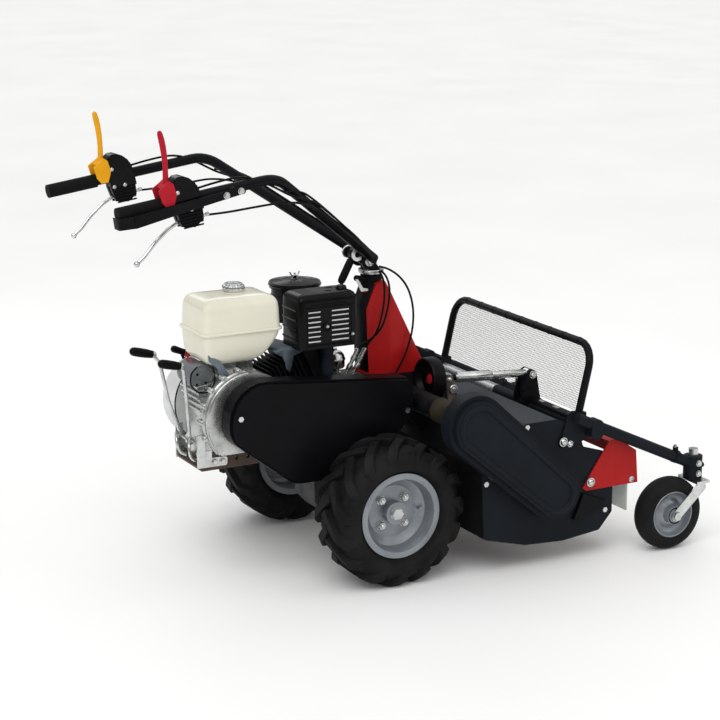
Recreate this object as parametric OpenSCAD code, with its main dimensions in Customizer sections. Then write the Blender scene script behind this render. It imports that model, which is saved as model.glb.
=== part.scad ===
// Walk-behind flail mower: a two-wheel power unit with handlebars, and a flail
// deck on two swivelling gauge wheels. Millimetres, +X forward, +Y left, +Z up.

/* [Drive wheels] */
// Overall diameter of a drive tyre over its lugs
wheel_d = 400; // [380:2:420]
// Width of a drive tyre
tyre_w = 165; // [150:1:168]
// Distance between the middles of the drive tyres
wheel_track = 638; // [636:2:660]
// Diameter over the rim flanges
rim_flange_d = 236; // [226:1:240]
// Diameter of the bead seat
bead_d = 204; // [196:1:206]
// Width over the rim flanges
rim_w = 128; // [120:1:132]
// Height of the tread lugs
lug_h = 17; // [10:1:20]
// Width of a tread lug
lug_w = 22; // [16:1:28]
// Number of lugs on each side of a tyre
lug_pairs = 15; // [11:1:18]
// Bolt circle of the wheel studs
stud_pcd = 100; // [90:1:110]

/* [Power unit] */
// Half width of the gearbox casting
gear_half = 62; // [55:1:70]
// Length of the gearbox casting
gear_len = 260; // [250:1:264]
// Height of the gearbox casting
gear_h = 380; // [376:1:384]
// Radius of the axle tubes
axle_tube_r = 42; // [36:1:48]
// Radius of the axle shafts
axle_r = 25; // [20:1:28]
// Distance of the crankshaft behind the axle
crank_back = 334; // [330:1:338]
// Height of the crankshaft above the ground
crank_z = 458; // [454:1:462]
// Slope of the engine cylinder
cylinder_tilt = 25; // [22:1:27]
// Height of the engine base plate
base_z = 328; // [322:1:332]
// Height of the frame rails
rail_h = 48; // [40:1:50]
// Radius of the fan housing and of the crankcase side cover
fan_r = 125; // [118:1:126]
// Length of the fuel tank
tank_len = 238; // [220:1:244]
// Width of the fuel tank
tank_wide = 180; // [160:1:184]
// Height of the fuel tank
tank_h = 180; // [170:1:184]
// Length of the muffler cover
muffler_len = 174; // [166:1:178]
// Depth of the muffler cover
muffler_deep = 104; // [100:1:110]
// Height of the muffler cover
muffler_h = 150; // [140:1:152]
// Radius of the air cleaner
cleaner_r = 72; // [60:1:74]

/* [Main belt drive] */
// Length of the main belt cover
cover_len = 552; // [546:1:556]
// Height of the main belt cover
cover_h = 306; // [300:1:309]
// Depth of the main belt cover
cover_deep = 66; // [60:1:66]
// Sheet thickness of covers
cover_wall = 3; // [2:0.5:4]
// Radius of the engine pulley
engine_pulley_r = 45; // [40:1:60]
// Radius of the gearbox pulley
gear_pulley_r = 82; // [70:1:84]

/* [Column and handlebar] */
// Height of the top of the column's base plate
column_z = 506; // [504:1:510]
// Height of the column above its base plate
column_h = 266; // [260:1:272]
// Length of the column's base
column_len = 172; // [166:1:178]
// Width of the column
column_wide = 110; // [100:1:116]
// Radius of the handlebar tubes
bar_r = 14; // [12:0.5:15]
// Distance of each handgrip from the middle
bar_y = 225; // [210:1:235]
// Height of the bend in the handlebar
bend_z = 1112; // [1090:1:1130]
// Distance of that bend behind the axle
bend_back = 285; // [275:1:295]
// Droop of the handgrips
bar_drop = 8; // [4:1:10]
// Length of the handlebar behind its bend
bar_back = 460; // [440:1:470]
// Length of a handgrip
grip_len = 138; // [120:1:142]
// Length of the upright levers above their pivots
lever_h = 156; // [140:1:165]

/* [Flail deck] */
// Length of a deck side plate
deck_len = 430; // [424:1:434]
// Height of a deck side plate
deck_h = 357; // [352:1:360]
// Ground clearance of the deck
deck_clear = 66; // [60:1:70]
// Half width of the deck over its side plates
deck_half = 432; // [425:1:436]
// Sheet thickness of the deck
sheet = 4; // [3:0.5:5]
// Distance of the flail rotor behind the middle of the deck's sides
rotor_back = 5; // [0:1:10]
// Height of the flail rotor above the ground
rotor_z = 224; // [220:1:228]
// Radius of the rotor tube
rotor_r = 50; // [44:1:54]
// Length of a flail
flail_len = 84; // [70:1:86]
// Number of flails in a row
flails = 6; // [4:1:6]
// Distance of the deck's cross shaft ahead of the axle
cross_x = 177; // [174:1:180]
// Height of the deck's cross shaft above the ground
cross_z = 447; // [444:1:450]
// Radius of the upper end of the deck's belt cover
case_upper_r = 86; // [84:1:88]
// Radius of the lower end of the deck's belt cover
case_lower_r = 78; // [76:1:80]
// Depth of the deck's belt cover
case_deep = 56; // [52:1:60]

/* [Gauge wheels] */
// Distance of the gauge frame's pivot behind the front edge of the deck's sides
pivot_back = 163; // [160:1:166]
// Height of the gauge frame's pivot
pivot_z = 351; // [348:1:354]
// Distance of the cross bar behind the front edge of the deck's sides
cross_bar_back = 84; // [82:1:86]
// Height of the cross bar
cross_bar_z = 378; // [376:1:382]
// Radius of the cross bar and of the arms
arm_r = 16; // [14:0.5:17]
// Distance of each arm outside the deck's side plate
arm_out = 26; // [24:1:32]
// Distance of the swivels ahead of the deck's sides
swivel_ahead = 258; // [252:1:263]
// Diameter of a gauge wheel
caster_d = 210; // [200:1:214]
// Width of a gauge wheel
caster_w = 62; // [56:1:66]
// Trail of a gauge wheel behind its swivel
caster_trail = 84; // [80:1:88]
// Distance of the mesh guard's sides inside the deck's
guard_in = 53; // [48:1:58]
// Height of the mesh guard
guard_h = 218; // [208:1:226]
// Forward lean of the mesh guard
guard_lean = 13; // [11:1:16]
// Diameter of the height handwheel
handwheel_d = 124; // [110:1:128]

/* [Hidden] */
$fn = 48;
// Clearances, the overrun of a cut and the steps of a rounded corner
gap = 0.3;
run = 0.3;
over = 1;
steps = 6;
steel = "silver";
black = "#17181a";
anthracite = "#2a2d32";
red = "#b3201f";
zinc = "#c9ccc8";

// Drive wheel sizes
wheel_r = wheel_d / 2;
wheel_y = wheel_track / 2;
bead_r = bead_d / 2;
rim_r = rim_flange_d / 2;
rim_half = rim_w / 2;
rim_sheet = 4.5;
bead_half = rim_half - rim_sheet - gap;
tyre_wall = 11;
sidewall_rise = 14;
lip_gap = 3;
shoulder_drop = 24;
crown_share = 0.36;
crown_half = crown_share * tyre_w;
carcass_r = wheel_r - lug_h;
lug_angle = 42;
disc_z = 9;
disc_t = 5;
dish_r = 72;
dish_step = 14;
hub_bore_r = 31;
hub_flange_r = 62;
hub_flange_t = 12;
hub_boss_h = 30;
stud_r = 6;
nut_r = 11;
nut_h = 10;
stud_out = 16;
hub_nut_r = 18;
valve_r = 4;
valve_h = 20;
axle_end = 215;
axle_in = 130;
lug_centre_share = 0.23;
lug_reach_share = 0.38;

// Power unit places
gear_x0 = -140;
gear_z0 = 120;
gear_top = gear_z0 + gear_h;
input_x = -100;
input_z = 380;
input_r = 13;
gear_shares = [[0.31, 0], [0.77, 0], [0.96, 0.12], [0.98, 0.71], [1, 0.8], [1, 1],
    [0.5, 1], [0.35, 0.86], [0, 0.84], [0, 0.55], [0.15, 0.47], [0.17, 0.1]];
casting_round = 14;
crank = [-crank_back, crank_z];
crank_r = 14;
cover_clear = 5.5;
cover_y0 = tyre_w / 2 + cover_clear - wheel_y;
cover_y1 = cover_y0 + cover_deep;
rail_in = 45;
rail_y = -cover_y1 - rail_in;
rail_t = 6;
rail_x0 = -466;
far_rail_x0 = -342;
far_rail_y = 76;
rail_hole_r = 5.5;
rail_hole_pitch = 34;
rail_holes = 4;
rail_z0 = base_z - rail_t;
rail_top = rail_z0 + rail_h;
side_boss = 49;
case_half = -cover_y1 - side_boss;
case_far = 60;
case_back = 96;
case_top = 560;
side_cover_r = fan_r + over;
cylinder_y = -20;
cylinder_wide = 130;
cylinder_high = 112;
block_d = 110;
fin_t = 4;
fin_pitch = 13;
fins = 9;
head_d = 236;
head_len = 36;
rocker_len = 20;
fan_deep = 90;
tank_x0 = -448;
tank_y0 = -115;
tank_z0 = 598;
tank_round = 24;
post_half = 40;
seam_h = 8;
seam_out = 6;
seam_share = 0.46;
crown_h = 12;
crown_in = 14;
cap_x = -312;
cap_y = -8;
cap_r = 31;
cap_h = 22;
muffler_x0 = -180;
muffler_y0 = -145;
muffler_z0 = 624;
slot_rows = 7;
slot_h = 7;
pipe_r = 17;
cleaner_x = -78;
cleaner_y = 92;
cleaner_z0 = 655;
cleaner_top = 764;
cleaner_lid_h = 16;
carb_w = 46;
carb_h = 74;
core_share = 0.36;
rocker_share = 0.4;
dome_share = 0.7;
cap_shares = [0.75, 0.8];
slot_shares = [0.16, 0.62];
slot_len_share = 0.24;
slot_z_share = 0.16;
slot_pitch_share = 0.09;
muffler_in = 12;
port_off = 58;
stem_r = 6;
tank_post_x = [-370, -286];
cleaner_share = 0.92;
grip_x = -392;
grip_y = 108;
grip_z = 604;
grip_boss = 8;
recoil_grip_r = 9;
recoil_grip_len = 52;

// Main belt cover outline
cover_x0 = -424;
cover_z0 = 277;
cover_shares = [[0, 1], [1, 0.833], [1, 0.5], [0.734, 0], [0.342, 0], [0, 0.477]];
cover_rounds = [104, 28, 40, 60, 70, 72];
pulley_w = 30;
pulley_y = (cover_y0 + cover_y1) / 2;
belt_t = 9;
belt_w = 17;
flange_share = 0.6;
cover_bolts = [[-398, 484], [104, 444]];
bolt_r = 4;
bolt_head_r = 8;
bolt_head_h = 4;
bolt_in = 12;

// Column and handlebar places
column_x0 = 86;
plate_t = column_z - gear_top;
column_shares = [[0, 0], [1, 0], [0.985, 0.06], [0.267, 0.988], [0.116, 0.955], [-0.047, 0.69]];
column_wall = 4;
fold_share = 0.35;
fold_in = 14;
swivel_axis_x = 115;
collar_r = 27;
collar_top = 786;
swivel_pin_r = 12;
swivel_pin_h = 50;
head_r = 34;
head_t = 11;
cheek_y = 20;
cheek_t = 6;
bar_pivot = [92, 826];
bar_pivot_r = 8;
yoke_y = cheek_y + cheek_t + over;
yoke_t = 6;
yoke_r = 24;
foot_share = 0.8;
bar_foot_y = yoke_y + yoke_t + foot_share * bar_r;
bar_foot = [100, 834];
bar_bend_r = 90;
bend_x = -bend_back;
grip_r = 18;
grip_gap = 0.4;
housing_shares = [[0, 0.9], [0.35, 1], [0.9, 0.82], [1, 0.6], [0.97, 0.12], [0.6, 0], [0.12, 0.06], [0, 0.35]];
housing_len = 72;
housing_h = 128;
housing_x0 = -292;
housing_z0 = -72;
housing_half = 19;
lever_x = -308;
lever_z = 27;
lever_pin_r = 4;
lever_t = 14;
lever_foot = 20;
lever_tip_w = 15;
block_len = 28;
brake_pin = [-262, -60];
brake_pin_r = 4;
brake_r = 5;
brake_ball_r = 8;
brake_route_shares = [[0, 0], [0.16, -0.08], [0.36, 0.08], [0.62, 0.42], [0.84, 0.8], [1, 1]];
brake_reach = 150;
brake_fall = 74;
stop_pin = [-136, 0];
stop_head_r = 9;
stop_head_t = 3;
stop_pin_r = 5;
stop_reach = 478;
stop_front = 108;
stop_h = 24;
stop_t = 4;
stop_off = 30;
stop_hook = 33;
bar_short = 20;
clamp_pin = [56, 846];
clamp_r = 9;
clamp_len = 78;
clamp_y = -8;

// Control lever places on the frame
gear_pin = [-470, 393];
gear_pin_r = 5;
gear_rod_r = 5;
knob_r = 10;
knob_len = 54;
near_lever_y = -60;
far_lever_y = 0;

// Deck places
deck_x0 = 222;
deck_x1 = deck_x0 + deck_len;
deck_z0 = deck_clear;
rotor_x = (deck_x0 + deck_x1) / 2 - rotor_back;
side_shares = [[0.02, 0.12], [0.33, 0.02], [0.62, 0], [0.9, 0.035], [1, 0.17], [1, 0.47],
    [0.92, 0.68], [0.76, 0.74], [0.72, 0.9], [0.56, 0.99], [0.32, 0.99], [0, 0.66]];
hood_shares = [[0.025, 0.12], [0.025, 0.655], [0.33, 0.99], [0.555, 0.99], [0.75, 0.77]];
side_round = 12;
rotor_axis = [rotor_x, rotor_z];
cross_shaft = [cross_x, cross_z];
rotor_side_gap = 27;
rotor_end = deck_half - rotor_side_gap;
rotor_shaft_r = 17.5;
flail_pivot = 66;
flail_rod_r = 6;
flail_w = 40;
flail_t = 8;
eye_r = 11;
lug_plate_t = 6;
lug_plate_r = 13;
bearing_r = 52;
bearing_t = 16;
case_y0 = -deck_half - sheet;
case_step = 14;
cross_tube_r = 32;
cross_shaft_r = 14;
deck_gear_half = 55;
deck_gear_x0 = gear_x0 + gear_len + gap;
deck_gear_x1 = 236;
deck_gear_z0 = 392;
deck_gear_z1 = 499;
upper_pulley_r = 62;
lower_pulley_r = 55;
deck_pulley_w = 24;
deck_pulley_in = 24;
deck_pulley_y = case_y0 - deck_pulley_in;
hood_pin_back = 80;
hood_pin = [deck_x1 - hood_pin_back, 226];
hood_head_r = 12;
hood_head_t = 3;
hood_pin_r = 8;
hood_back = 104;
hood_x0 = deck_x1 - hood_back;
hood_z0 = 202;
hood_len = 190;
hood_h = 140;
hood_shares_red = [[0, 0.06], [0.445, 0.955], [0.59, 1], [0.935, 0.68], [0.98, 0], [0.06, 0]];
hood_gap = 1;
curtain_ahead = 60;
curtain_pin = [deck_x1 + curtain_ahead, 214];
curtain_pin_r = 6;
curtain_in = 14;
curtain_half = deck_half - curtain_in;
curtain_t = 4;
curtain_h = 98;

// Gauge frame places
pivot_x = deck_x1 - pivot_back;
cross_bar_x = deck_x1 - cross_bar_back;
swivel_x = deck_x1 + swivel_ahead;
arm_y = deck_half + arm_out;
bar_half = arm_y - arm_r;
swivel_z = 229;
arm_end_z = 236;
arm_rise = 17;
arm_back = 66;
saddle_r = 20;
swivel_r = 27;
swivel_h = 66;
swivel_top_nut_r = 15;
swivel_top_nut_h = 20;
swivel_shaft_r = 12;
clamp_bolt_r = 7;
clamp_bolt_len = 9;
pivot_plate_t = 6;
pivot_pin_r = 9;
pivot_plate_r = 20;
bracket_back = 90;
bracket_pin = [deck_x1 - bracket_back, 471];
bracket_y = -126;
bracket_gap = 15;
bracket_t = 6;
bracket_r = 14;
link_pin_r = 6;
link_play = 2.2;
link_r = 11;
link_rear = [286, 489];
link_y = bracket_y;
link_end_gap = 18;
clevis_half = 13;
clevis_len = 24;
handwheel_back = 52;
handwheel_t = 24;
handwheel_cap_r = 13;
spindle_r = 7;
trunnion_r = 6;
strap_t = 6;
strap_w = 24;
strap_shares = [0.42, 0.72];
guard_tube_r = 11;
guard_round = 60;
mesh_t = 3;
mesh_wire = 2.4;
mesh_across = 29;
mesh_up = 10;
guard_foot_h = 18;
notch_half = 24;
notch_h = 26;
caster_r = caster_d / 2;
caster_rim_r = 60;
caster_hub_r = 26;
caster_axle_r = 8;
fork_half = 40;
fork_t = 5;
fork_w = 30;
fork_crown_t = 7;
fork_crown_z = 188;
crown_back = 16;
crown_front = 28;
caster_bolt_r = 13;
caster_bolt_h = 8;

// Values of the head, levers, cables and links
clamp_pin_r = 6;
clamp_lean = 28;
ear_r = 9;
ear_y = 8.3;
ear_t = 4;
slot_half = 6.5;
brake_eye_r = 9;
cable_r = 3;
barrel_r = 6;
barrels = [[[1.6, -50, 503], [46, -50, 586]], [[25.6, -50, 503], [70, -50, 586]]];
bar_routes = [[[-497, 225, 1031], [-440, 225, 1030], [-380, 224, 1036], [-310, 220, 1042], [-240, 206, 1042],
    [-180, 190, 1020], [-120, 163, 977], [-60, 135, 933], [0, 107, 890], [50, 84, 854], [92, 66, 824]],
    [[-509, 225, 1101], [-450, 224, 1112], [-390, 220, 1122], [-330, 215, 1132], [-285, 206, 1128], [-240, 192, 1102],
    [-180, 164, 1056], [-120, 137, 1013], [-60, 109, 969], [0, 81, 926], [50, 66, 894], [84, 62, 870]]];
control_routes = [[[104, -68, 816], [132, -69, 806], [164, -70, 784], [190, -70, 752], [206, -70, 712], [212, -70, 668],
    [208, -70, 622], [196, -70, 580], [180, -70, 545], [160, -70, 512], [136, -68, 486], [110, -65.5, 470]],
    [[106, -73, 806], [122, -76, 786], [131, -77, 756], [130, -77, 720], [122, -76, 680], [108, -74, 644],
    [88, -66, 618], [66, -57, 602], [47, -50, 588]],
    [[98, -78, 806], [109, -82, 780], [112, -84, 740], [108, -84, 700], [100, -80, 660], [91, -70, 626],
    [80, -58, 604], [71, -50, 588]]];
bracket_sheet = 5;
lever_plate_y = 14;
lever_plate_back = 9;
lever_plate_ahead = 32;
lever_plate_up = 30;
lever_plate_neck = 13;
lever_plate_step = 15;
near_route = [[-477, 506], [-484, 586], [-492, 600]];
near_knob = [-545, 613];
far_route = [[-505, 495], [-527, 600], [-546, 626]];
far_knob = [-600, 640];
flail_margin = 15;
flail_pitch = (rotor_end - flail_margin) / (flails / 2);
foot_shares = [0.17, 0.68];
front_share = 0.4;
link_bore_share = 0.55;
handwheel_rib = 6;
hub_half = 39;
web_half = 9;
tread_round = 14;
cross_bar = [cross_bar_x, cross_bar_z];
arm_over = [cross_bar_x, cross_bar_z + arm_rise];
arm_end = [swivel_x, arm_end_z];
arm_rear = arm_over - arm_back * unit(arm_end - arm_over);
wheel_at = [swivel_x - caster_trail, caster_r];
guard_y = deck_half - guard_in - guard_tube_r;
guard_top = arm_r + guard_h - guard_tube_r;
link_tilt = atan2(link_rear.y - bracket_pin.y, bracket_pin.x - link_rear.x);
link_len = norm(bracket_pin - link_rear);
deck_bolt_shares = [[0.3256, 0.9636], [0.0279, 0.5658], [0.9419, 0.1961]];

// Extent of the part, which sets the middle of its footprint
front_x = swivel_x + swivel_r + clamp_bolt_len;
rear_x = bend_x - stop_reach * cos(bar_drop) - stop_h / 2 * sin(bar_drop);
mid_x = (front_x + rear_x) / 2;

function unit(v) = v / norm(v);
function at(list, i) = list[(i + len(list)) % len(list)];
// Points round a corner at b, between a and c
function corner(a, b, c, r, n) = let (
    u = unit(a - b),
    w = unit(c - b),
    half = acos(u * w) / 2,
    o = b + unit(u + w) * r / sin(half),
    e1 = unit(b + u * r / tan(half) - o),
    p = b + w * r / tan(half) - o,
    e2 = unit(p - (p * e1) * e1),
    sweep = 180 - 2 * half)
    [for (i = [0:n]) o + r * (cos(sweep * i / n) * e1 + sin(sweep * i / n) * e2)];
// A closed outline with its corners rounded, each by its own radius
function rounded(points, rounds, n = steps) = [for (i = [0:len(points) - 1])
    each at(rounds, i) > 0
        ? corner(at(points, i - 1), points[i], at(points, i + 1), at(rounds, i), n)
        : [points[i]]];
// An open route with its inner corners rounded
function bent(points, r, n = steps) = let (last = len(points) - 1) concat([points[0]],
    [for (i = [1:last - 1]) each corner(points[i - 1], points[i], points[i + 1], r, n)], [points[last]]);
function place(shares, x0, z0, w, h) = [for (s = shares) [x0 + s[0] * w, z0 + s[1] * h]];
// Outline of a loop round two circles
function loop(c1, r1, c2, r2, n = 24) = let (
    d = c2 - c1,
    a = atan2(d.y, d.x),
    b = acos((r1 - r2) / norm(d)))
    concat([for (i = [0:n]) let (t = a + b + (360 - 2 * b) * i / n) c1 + r1 * [cos(t), sin(t)]],
        [for (i = [0:n]) let (t = a - b + 2 * b * i / n) c2 + r2 * [cos(t), sin(t)]]);
// A sheet of thickness t along an open outline, to its left, or to its right if t is negative
function strip(p, t) = let (
    m = len(p) - 1,
    d = [for (i = [0:m - 1]) unit(p[i + 1] - p[i])],
    s = [for (v = d) [-v.y, v.x]],
    off = [for (i = [0:m]) i == 0 ? s[0] : i == m ? s[m - 1] : (s[i - 1] + s[i]) / (1 + s[i - 1] * s[i])])
    concat(p, [for (i = [m:-1:0]) p[i] + t * off[i]]);
// A closed outline drawn in by t
function inset(p, t) = let (
    d = [for (i = [0:len(p) - 1]) unit(at(p, i + 1) - p[i])],
    s = [for (v = d) [-v.y, v.x]])
    [for (i = [0:len(p) - 1]) p[i] + t * (at(s, i - 1) + s[i]) / (1 + at(s, i - 1) * s[i])];
// A point of the engine, d along the cylinder and n across it
function along(d, n) = crank + d * [cos(cylinder_tilt), sin(cylinder_tilt)]
    + n * [-sin(cylinder_tilt), cos(cylinder_tilt)];
// A point of the handlebar behind its bend, x along the tube and z above it
function on_tube(x, z) = [bend_x + x * cos(bar_drop) - z * sin(bar_drop),
    bend_z + x * sin(bar_drop) + z * cos(bar_drop)];

module bar_y(p, r, y0, y1) translate([p[0], y1, p[1]]) rotate([90, 0, 0]) cylinder(r = r, h = y1 - y0);
module hex_y(p, r, y0, y1) translate([p[0], y1, p[1]]) rotate([90, 0, 0]) cylinder(r = r, h = y1 - y0, $fn = 6);
module slab_y(points, y0, y1) translate([0, y1, 0]) rotate([90, 0, 0]) linear_extrude(y1 - y0) polygon(points);
module box(lo, hi) translate(lo) cube(hi - lo);
module rod(a, b, r) translate(a)
    rotate([0, acos((b - a).z / norm(b - a)), atan2((b - a).y, (b - a).x)]) cylinder(r = r, h = norm(b - a));
// A rod with round ends
module capsule(a, b, r) translate(a)
    rotate([0, acos((b - a).z / norm(b - a)), atan2((b - a).y, (b - a).x)]) {
        cylinder(r = r, h = norm(b - a));
        sphere(r = r);
        translate([0, 0, norm(b - a)]) sphere(r = r);
    }
module on_side(side) {
    if (side > 0) children();
    else mirror([0, 1, 0]) children();
}
// A tube swept along a route of points
module tube(path, r, sides = 12, ref = [0, 1, 0]) {
    last = len(path) - 1;
    rings = [for (i = [0:last]) let (
        t = unit(path[min(i + 1, last)] - path[max(i - 1, 0)]),
        n1 = unit(cross(ref, t)),
        n2 = cross(t, n1))
        [for (k = [0:sides - 1]) path[i] + r * (cos(360 * k / sides) * n1 + sin(360 * k / sides) * n2)]];
    walls = [for (i = [0:last - 1], k = [0:sides - 1]) let (k2 = (k + 1) % sides, a = i * sides, b = a + sides)
        each [[a + k, b + k, b + k2], [a + k, b + k2, a + k2]]];
    ends = [for (k = [1:sides - 2]) each [[0, k, k + 1],
        [last * sides, last * sides + k + 1, last * sides + k]]];
    polyhedron([for (g = rings) each g], concat(walls, ends));
}

// Drive wheels
function tyre_section(top) = let (
    side = [[bead_r, bead_half], [rim_r + lip_gap, bead_half], [rim_r + sidewall_rise, tyre_w / 2],
        [top - shoulder_drop, tyre_w / 2], [top, crown_half]],
    rounds = [0, 0, sidewall_rise, shoulder_drop, shoulder_drop])
    rounded(concat([for (i = [0:4]) [side[i][0], -side[i][1]]], [for (i = [4:-1:0]) side[i]]),
        concat(rounds, [for (i = [4:-1:0]) rounds[i]]));

module wheel_place(side) on_side(side) translate([0, wheel_y, wheel_r]) rotate([-90, 0, 0]) children();

module tyre(side) color("#1b1b1c") wheel_place(side) difference() {
    union() {
        rotate_extrude() polygon(tyre_section(carcass_r));
        intersection() {
            rotate_extrude() polygon(tyre_section(wheel_r));
            for (i = [0:lug_pairs - 1], s = [-1, 1])
                rotate([0, 0, 90 + 360 / lug_pairs * (i + (s > 0 ? 1 / 2 : 0))])
                    translate([carcass_r - shoulder_drop - tyre_wall, 0, s * lug_centre_share * tyre_w])
                        rotate([s * lug_angle, 0, 0])
                            translate([0, -lug_w / 2, -lug_reach_share * tyre_w])
                                cube([wheel_r, lug_w, 2 * lug_reach_share * tyre_w]);
        }
    }
    rotate_extrude() polygon([[bead_r - over, -bead_half + tyre_wall], [rim_r, -bead_half + tyre_wall],
        [rim_r + sidewall_rise, -tyre_w / 2 + tyre_wall], [carcass_r - shoulder_drop, -tyre_w / 2 + tyre_wall],
        [carcass_r - tyre_wall, -crown_half], [carcass_r - tyre_wall, crown_half],
        [carcass_r - shoulder_drop, tyre_w / 2 - tyre_wall], [rim_r + sidewall_rise, tyre_w / 2 - tyre_wall],
        [rim_r, bead_half - tyre_wall], [bead_r - over, bead_half - tyre_wall]]);
}
module tyre_left() tyre(1);
module tyre_right() tyre(-1);

module rim(side) color("#8c9196") wheel_place(side) {
    seat = bead_r - gap;
    well = seat - rim_sheet;
    hub = disc_z - hub_flange_t;
    disc_top = disc_z + disc_t;
    rotate_extrude() polygon([[0, axle_in - wheel_y], [axle_r, axle_in - wheel_y], [axle_r, hub], [hub_flange_r, hub],
        [hub_flange_r, disc_z], [well - 2 * rim_sheet, disc_z], [well, disc_z - dish_step / 2],
        [well, dish_step - rim_half], [seat, -rim_half], [rim_r, -rim_half], [rim_r, -bead_half - gap],
        [seat, -bead_half - gap], [seat, bead_half + gap], [rim_r, bead_half + gap], [rim_r, rim_half],
        [seat, rim_half], [well, rim_half - dish_step], [well - rim_sheet, disc_top + dish_step],
        [dish_r, disc_top], [hub_bore_r, disc_top], [hub_bore_r, disc_z + hub_boss_h], [0, disc_z + hub_boss_h]]);
    translate([0, 0, disc_z + hub_boss_h]) cylinder(r = hub_nut_r, h = nut_h, $fn = 6);
    for (a = [0:90:270]) rotate([0, 0, a + 45]) translate([stud_pcd / 2, 0, disc_z + disc_t]) {
        cylinder(r = nut_r, h = nut_h, $fn = 6);
        cylinder(r = stud_r, h = stud_out);
    }
    translate([dish_r + rim_sheet, 0, disc_z]) cylinder(r = valve_r, h = disc_t + valve_h);
}
module rim_left() rim(1);
module rim_right() rim(-1);

// Power unit
module gearbox_housing() color("#5d5f5e") difference() {
    union() {
        slab_y(rounded(place(gear_shares, gear_x0, gear_z0, gear_len, gear_h), [casting_round]), -gear_half, gear_half);
        bar_y([0, wheel_r], axle_tube_r, -axle_end, axle_end);
        bar_y([input_x, input_z], input_r + casting_round, cover_y1 + gap, -gear_half + over);
        bar_y(cover_bolts[1], casting_round, cover_y0 + cover_wall, -gear_half + over);
    }
    for (s = [-1, 1]) on_side(s) bar_y([0, wheel_r], axle_r + run, axle_in - over, axle_end + over);
    bar_y([input_x, input_z], input_r + run, cover_y1 - over, -gear_half);
}

module rail(x0, y) difference() {
    box([x0, y, rail_z0], [gear_x0 - rail_t, y + rail_t, rail_top]);
    for (i = [0:rail_holes - 1])
        bar_y([x0 + rail_hole_pitch * (i + 1), rail_z0 + rail_h / 2], rail_hole_r, y - over, y + rail_t + over);
}

module engine_frame() color("#6b645c") {
    rail(rail_x0, -rail_y - rail_t);
    rail(far_rail_x0, far_rail_y);
    translate([0, 0, rail_z0]) linear_extrude(rail_t)
        polygon([[rail_x0, -rail_y], [gear_x0 - rail_t, -rail_y], [gear_x0 - rail_t, far_rail_y],
            [far_rail_x0, far_rail_y], [rail_x0, lever_plate_y + lever_plate_up]]);
    box([gear_x0 - rail_t, -rail_y - rail_t, rail_z0], [gear_x0, far_rail_y + rail_t, rail_top]);
}

module crankcase() color("#b9bbb8") difference() {
    foot = along(block_d, -cylinder_high / 2);
    neck = along(block_d, cylinder_high / 2);
    union() {
        slab_y(rounded([[crank.x - case_back, base_z], [foot.x, base_z], foot, neck,
            [crank.x - case_back / 2, case_top], [crank.x - case_back, case_top - case_back / 2]],
            [0, 0, 0, 0, casting_round, casting_round]), -case_half, case_far);
        bar_y(crank, side_cover_r, cover_y1 + gap, -case_half + over);
        for (x = tank_post_x)
            box([x, -post_half, case_top - case_back / 2], [x + casting_round, post_half, tank_z0]);
    }
    box([rail_x0, -rail_y - cover_deep, rail_z0], [gear_x0, -case_half, rail_top + gap]);
    bar_y(crank, crank_r + run, cover_y1 - over, case_far - tyre_wall);
}

module engine_axis(y) translate([crank.x, y, crank.y]) rotate([0, -cylinder_tilt, 0]) children();

module cylinder_block_core() box([block_d, -core_share * cylinder_wide, -core_share * cylinder_high],
    [head_d, core_share * cylinder_wide, core_share * cylinder_high]);

module cylinder_fins() for (i = [0:fins - 1])
    box([block_d + fin_pitch * i, -cylinder_wide / 2, -cylinder_high / 2],
        [block_d + fin_pitch * i + fin_t, cylinder_wide / 2, cylinder_high / 2]);

module engine_cylinder() color("#232426") engine_axis(cylinder_y) {
    cylinder_block_core();
    cylinder_fins();
    box([head_d, -cylinder_wide / 2, -cylinder_high / 2], [head_d + head_len, cylinder_wide / 2, cylinder_high / 2]);
    box([head_d + head_len, -rocker_share * cylinder_wide, -rocker_share * cylinder_high],
        [head_d + head_len + rocker_len, rocker_share * cylinder_wide, rocker_share * cylinder_high]);
}

module recoil_cover() color("#8f9294") difference() {
    union() {
        bar_y(crank, fan_r, case_far, case_far + fan_deep);
        bar_y(crank, dome_share * fan_r, case_far + fan_deep - over, case_far + fan_deep + casting_round);
        box([grip_x - grip_boss, grip_y - grip_boss, crank_z + dome_share * fan_r],
            [grip_x + grip_boss, grip_y + grip_boss, grip_z - recoil_grip_r - gap]);
    }
    box([crank.x - fan_r, case_far - over, rail_z0], [crank.x + fan_r, case_far + fan_deep + cover_deep, rail_top + gap]);
}

module recoil_grip() color("#202123") {
    translate([grip_x - recoil_grip_len / 2, grip_y, grip_z]) rotate([0, 90, 0]) {
        cylinder(r = recoil_grip_r, h = recoil_grip_len);
        sphere(r = recoil_grip_r);
        translate([0, 0, recoil_grip_len]) sphere(r = recoil_grip_r);
    }
}

module rounded_block(x, y, z, len, wide, h, r) translate([x, y, z]) linear_extrude(h)
    polygon(rounded([[0, 0], [len, 0], [len, wide], [0, wide]], [r]));

module fuel_tank() color("#e8e6d5") {
    seam = seam_share * tank_h;
    rounded_block(tank_x0 + seam_out, tank_y0 + seam_out, tank_z0, tank_len - 2 * seam_out,
        tank_wide - 2 * seam_out, seam, tank_round);
    rounded_block(tank_x0, tank_y0, tank_z0 + seam, tank_len, tank_wide, seam_h, tank_round);
    rounded_block(tank_x0 + seam_out, tank_y0 + seam_out, tank_z0 + seam + seam_h, tank_len - 2 * seam_out,
        tank_wide - 2 * seam_out, tank_h - seam - seam_h - crown_h, tank_round);
    rounded_block(tank_x0 + crown_in, tank_y0 + crown_in, tank_z0 + tank_h - crown_h, tank_len - 2 * crown_in,
        tank_wide - 2 * crown_in, crown_h, tank_round - crown_in / 2);
}

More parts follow.
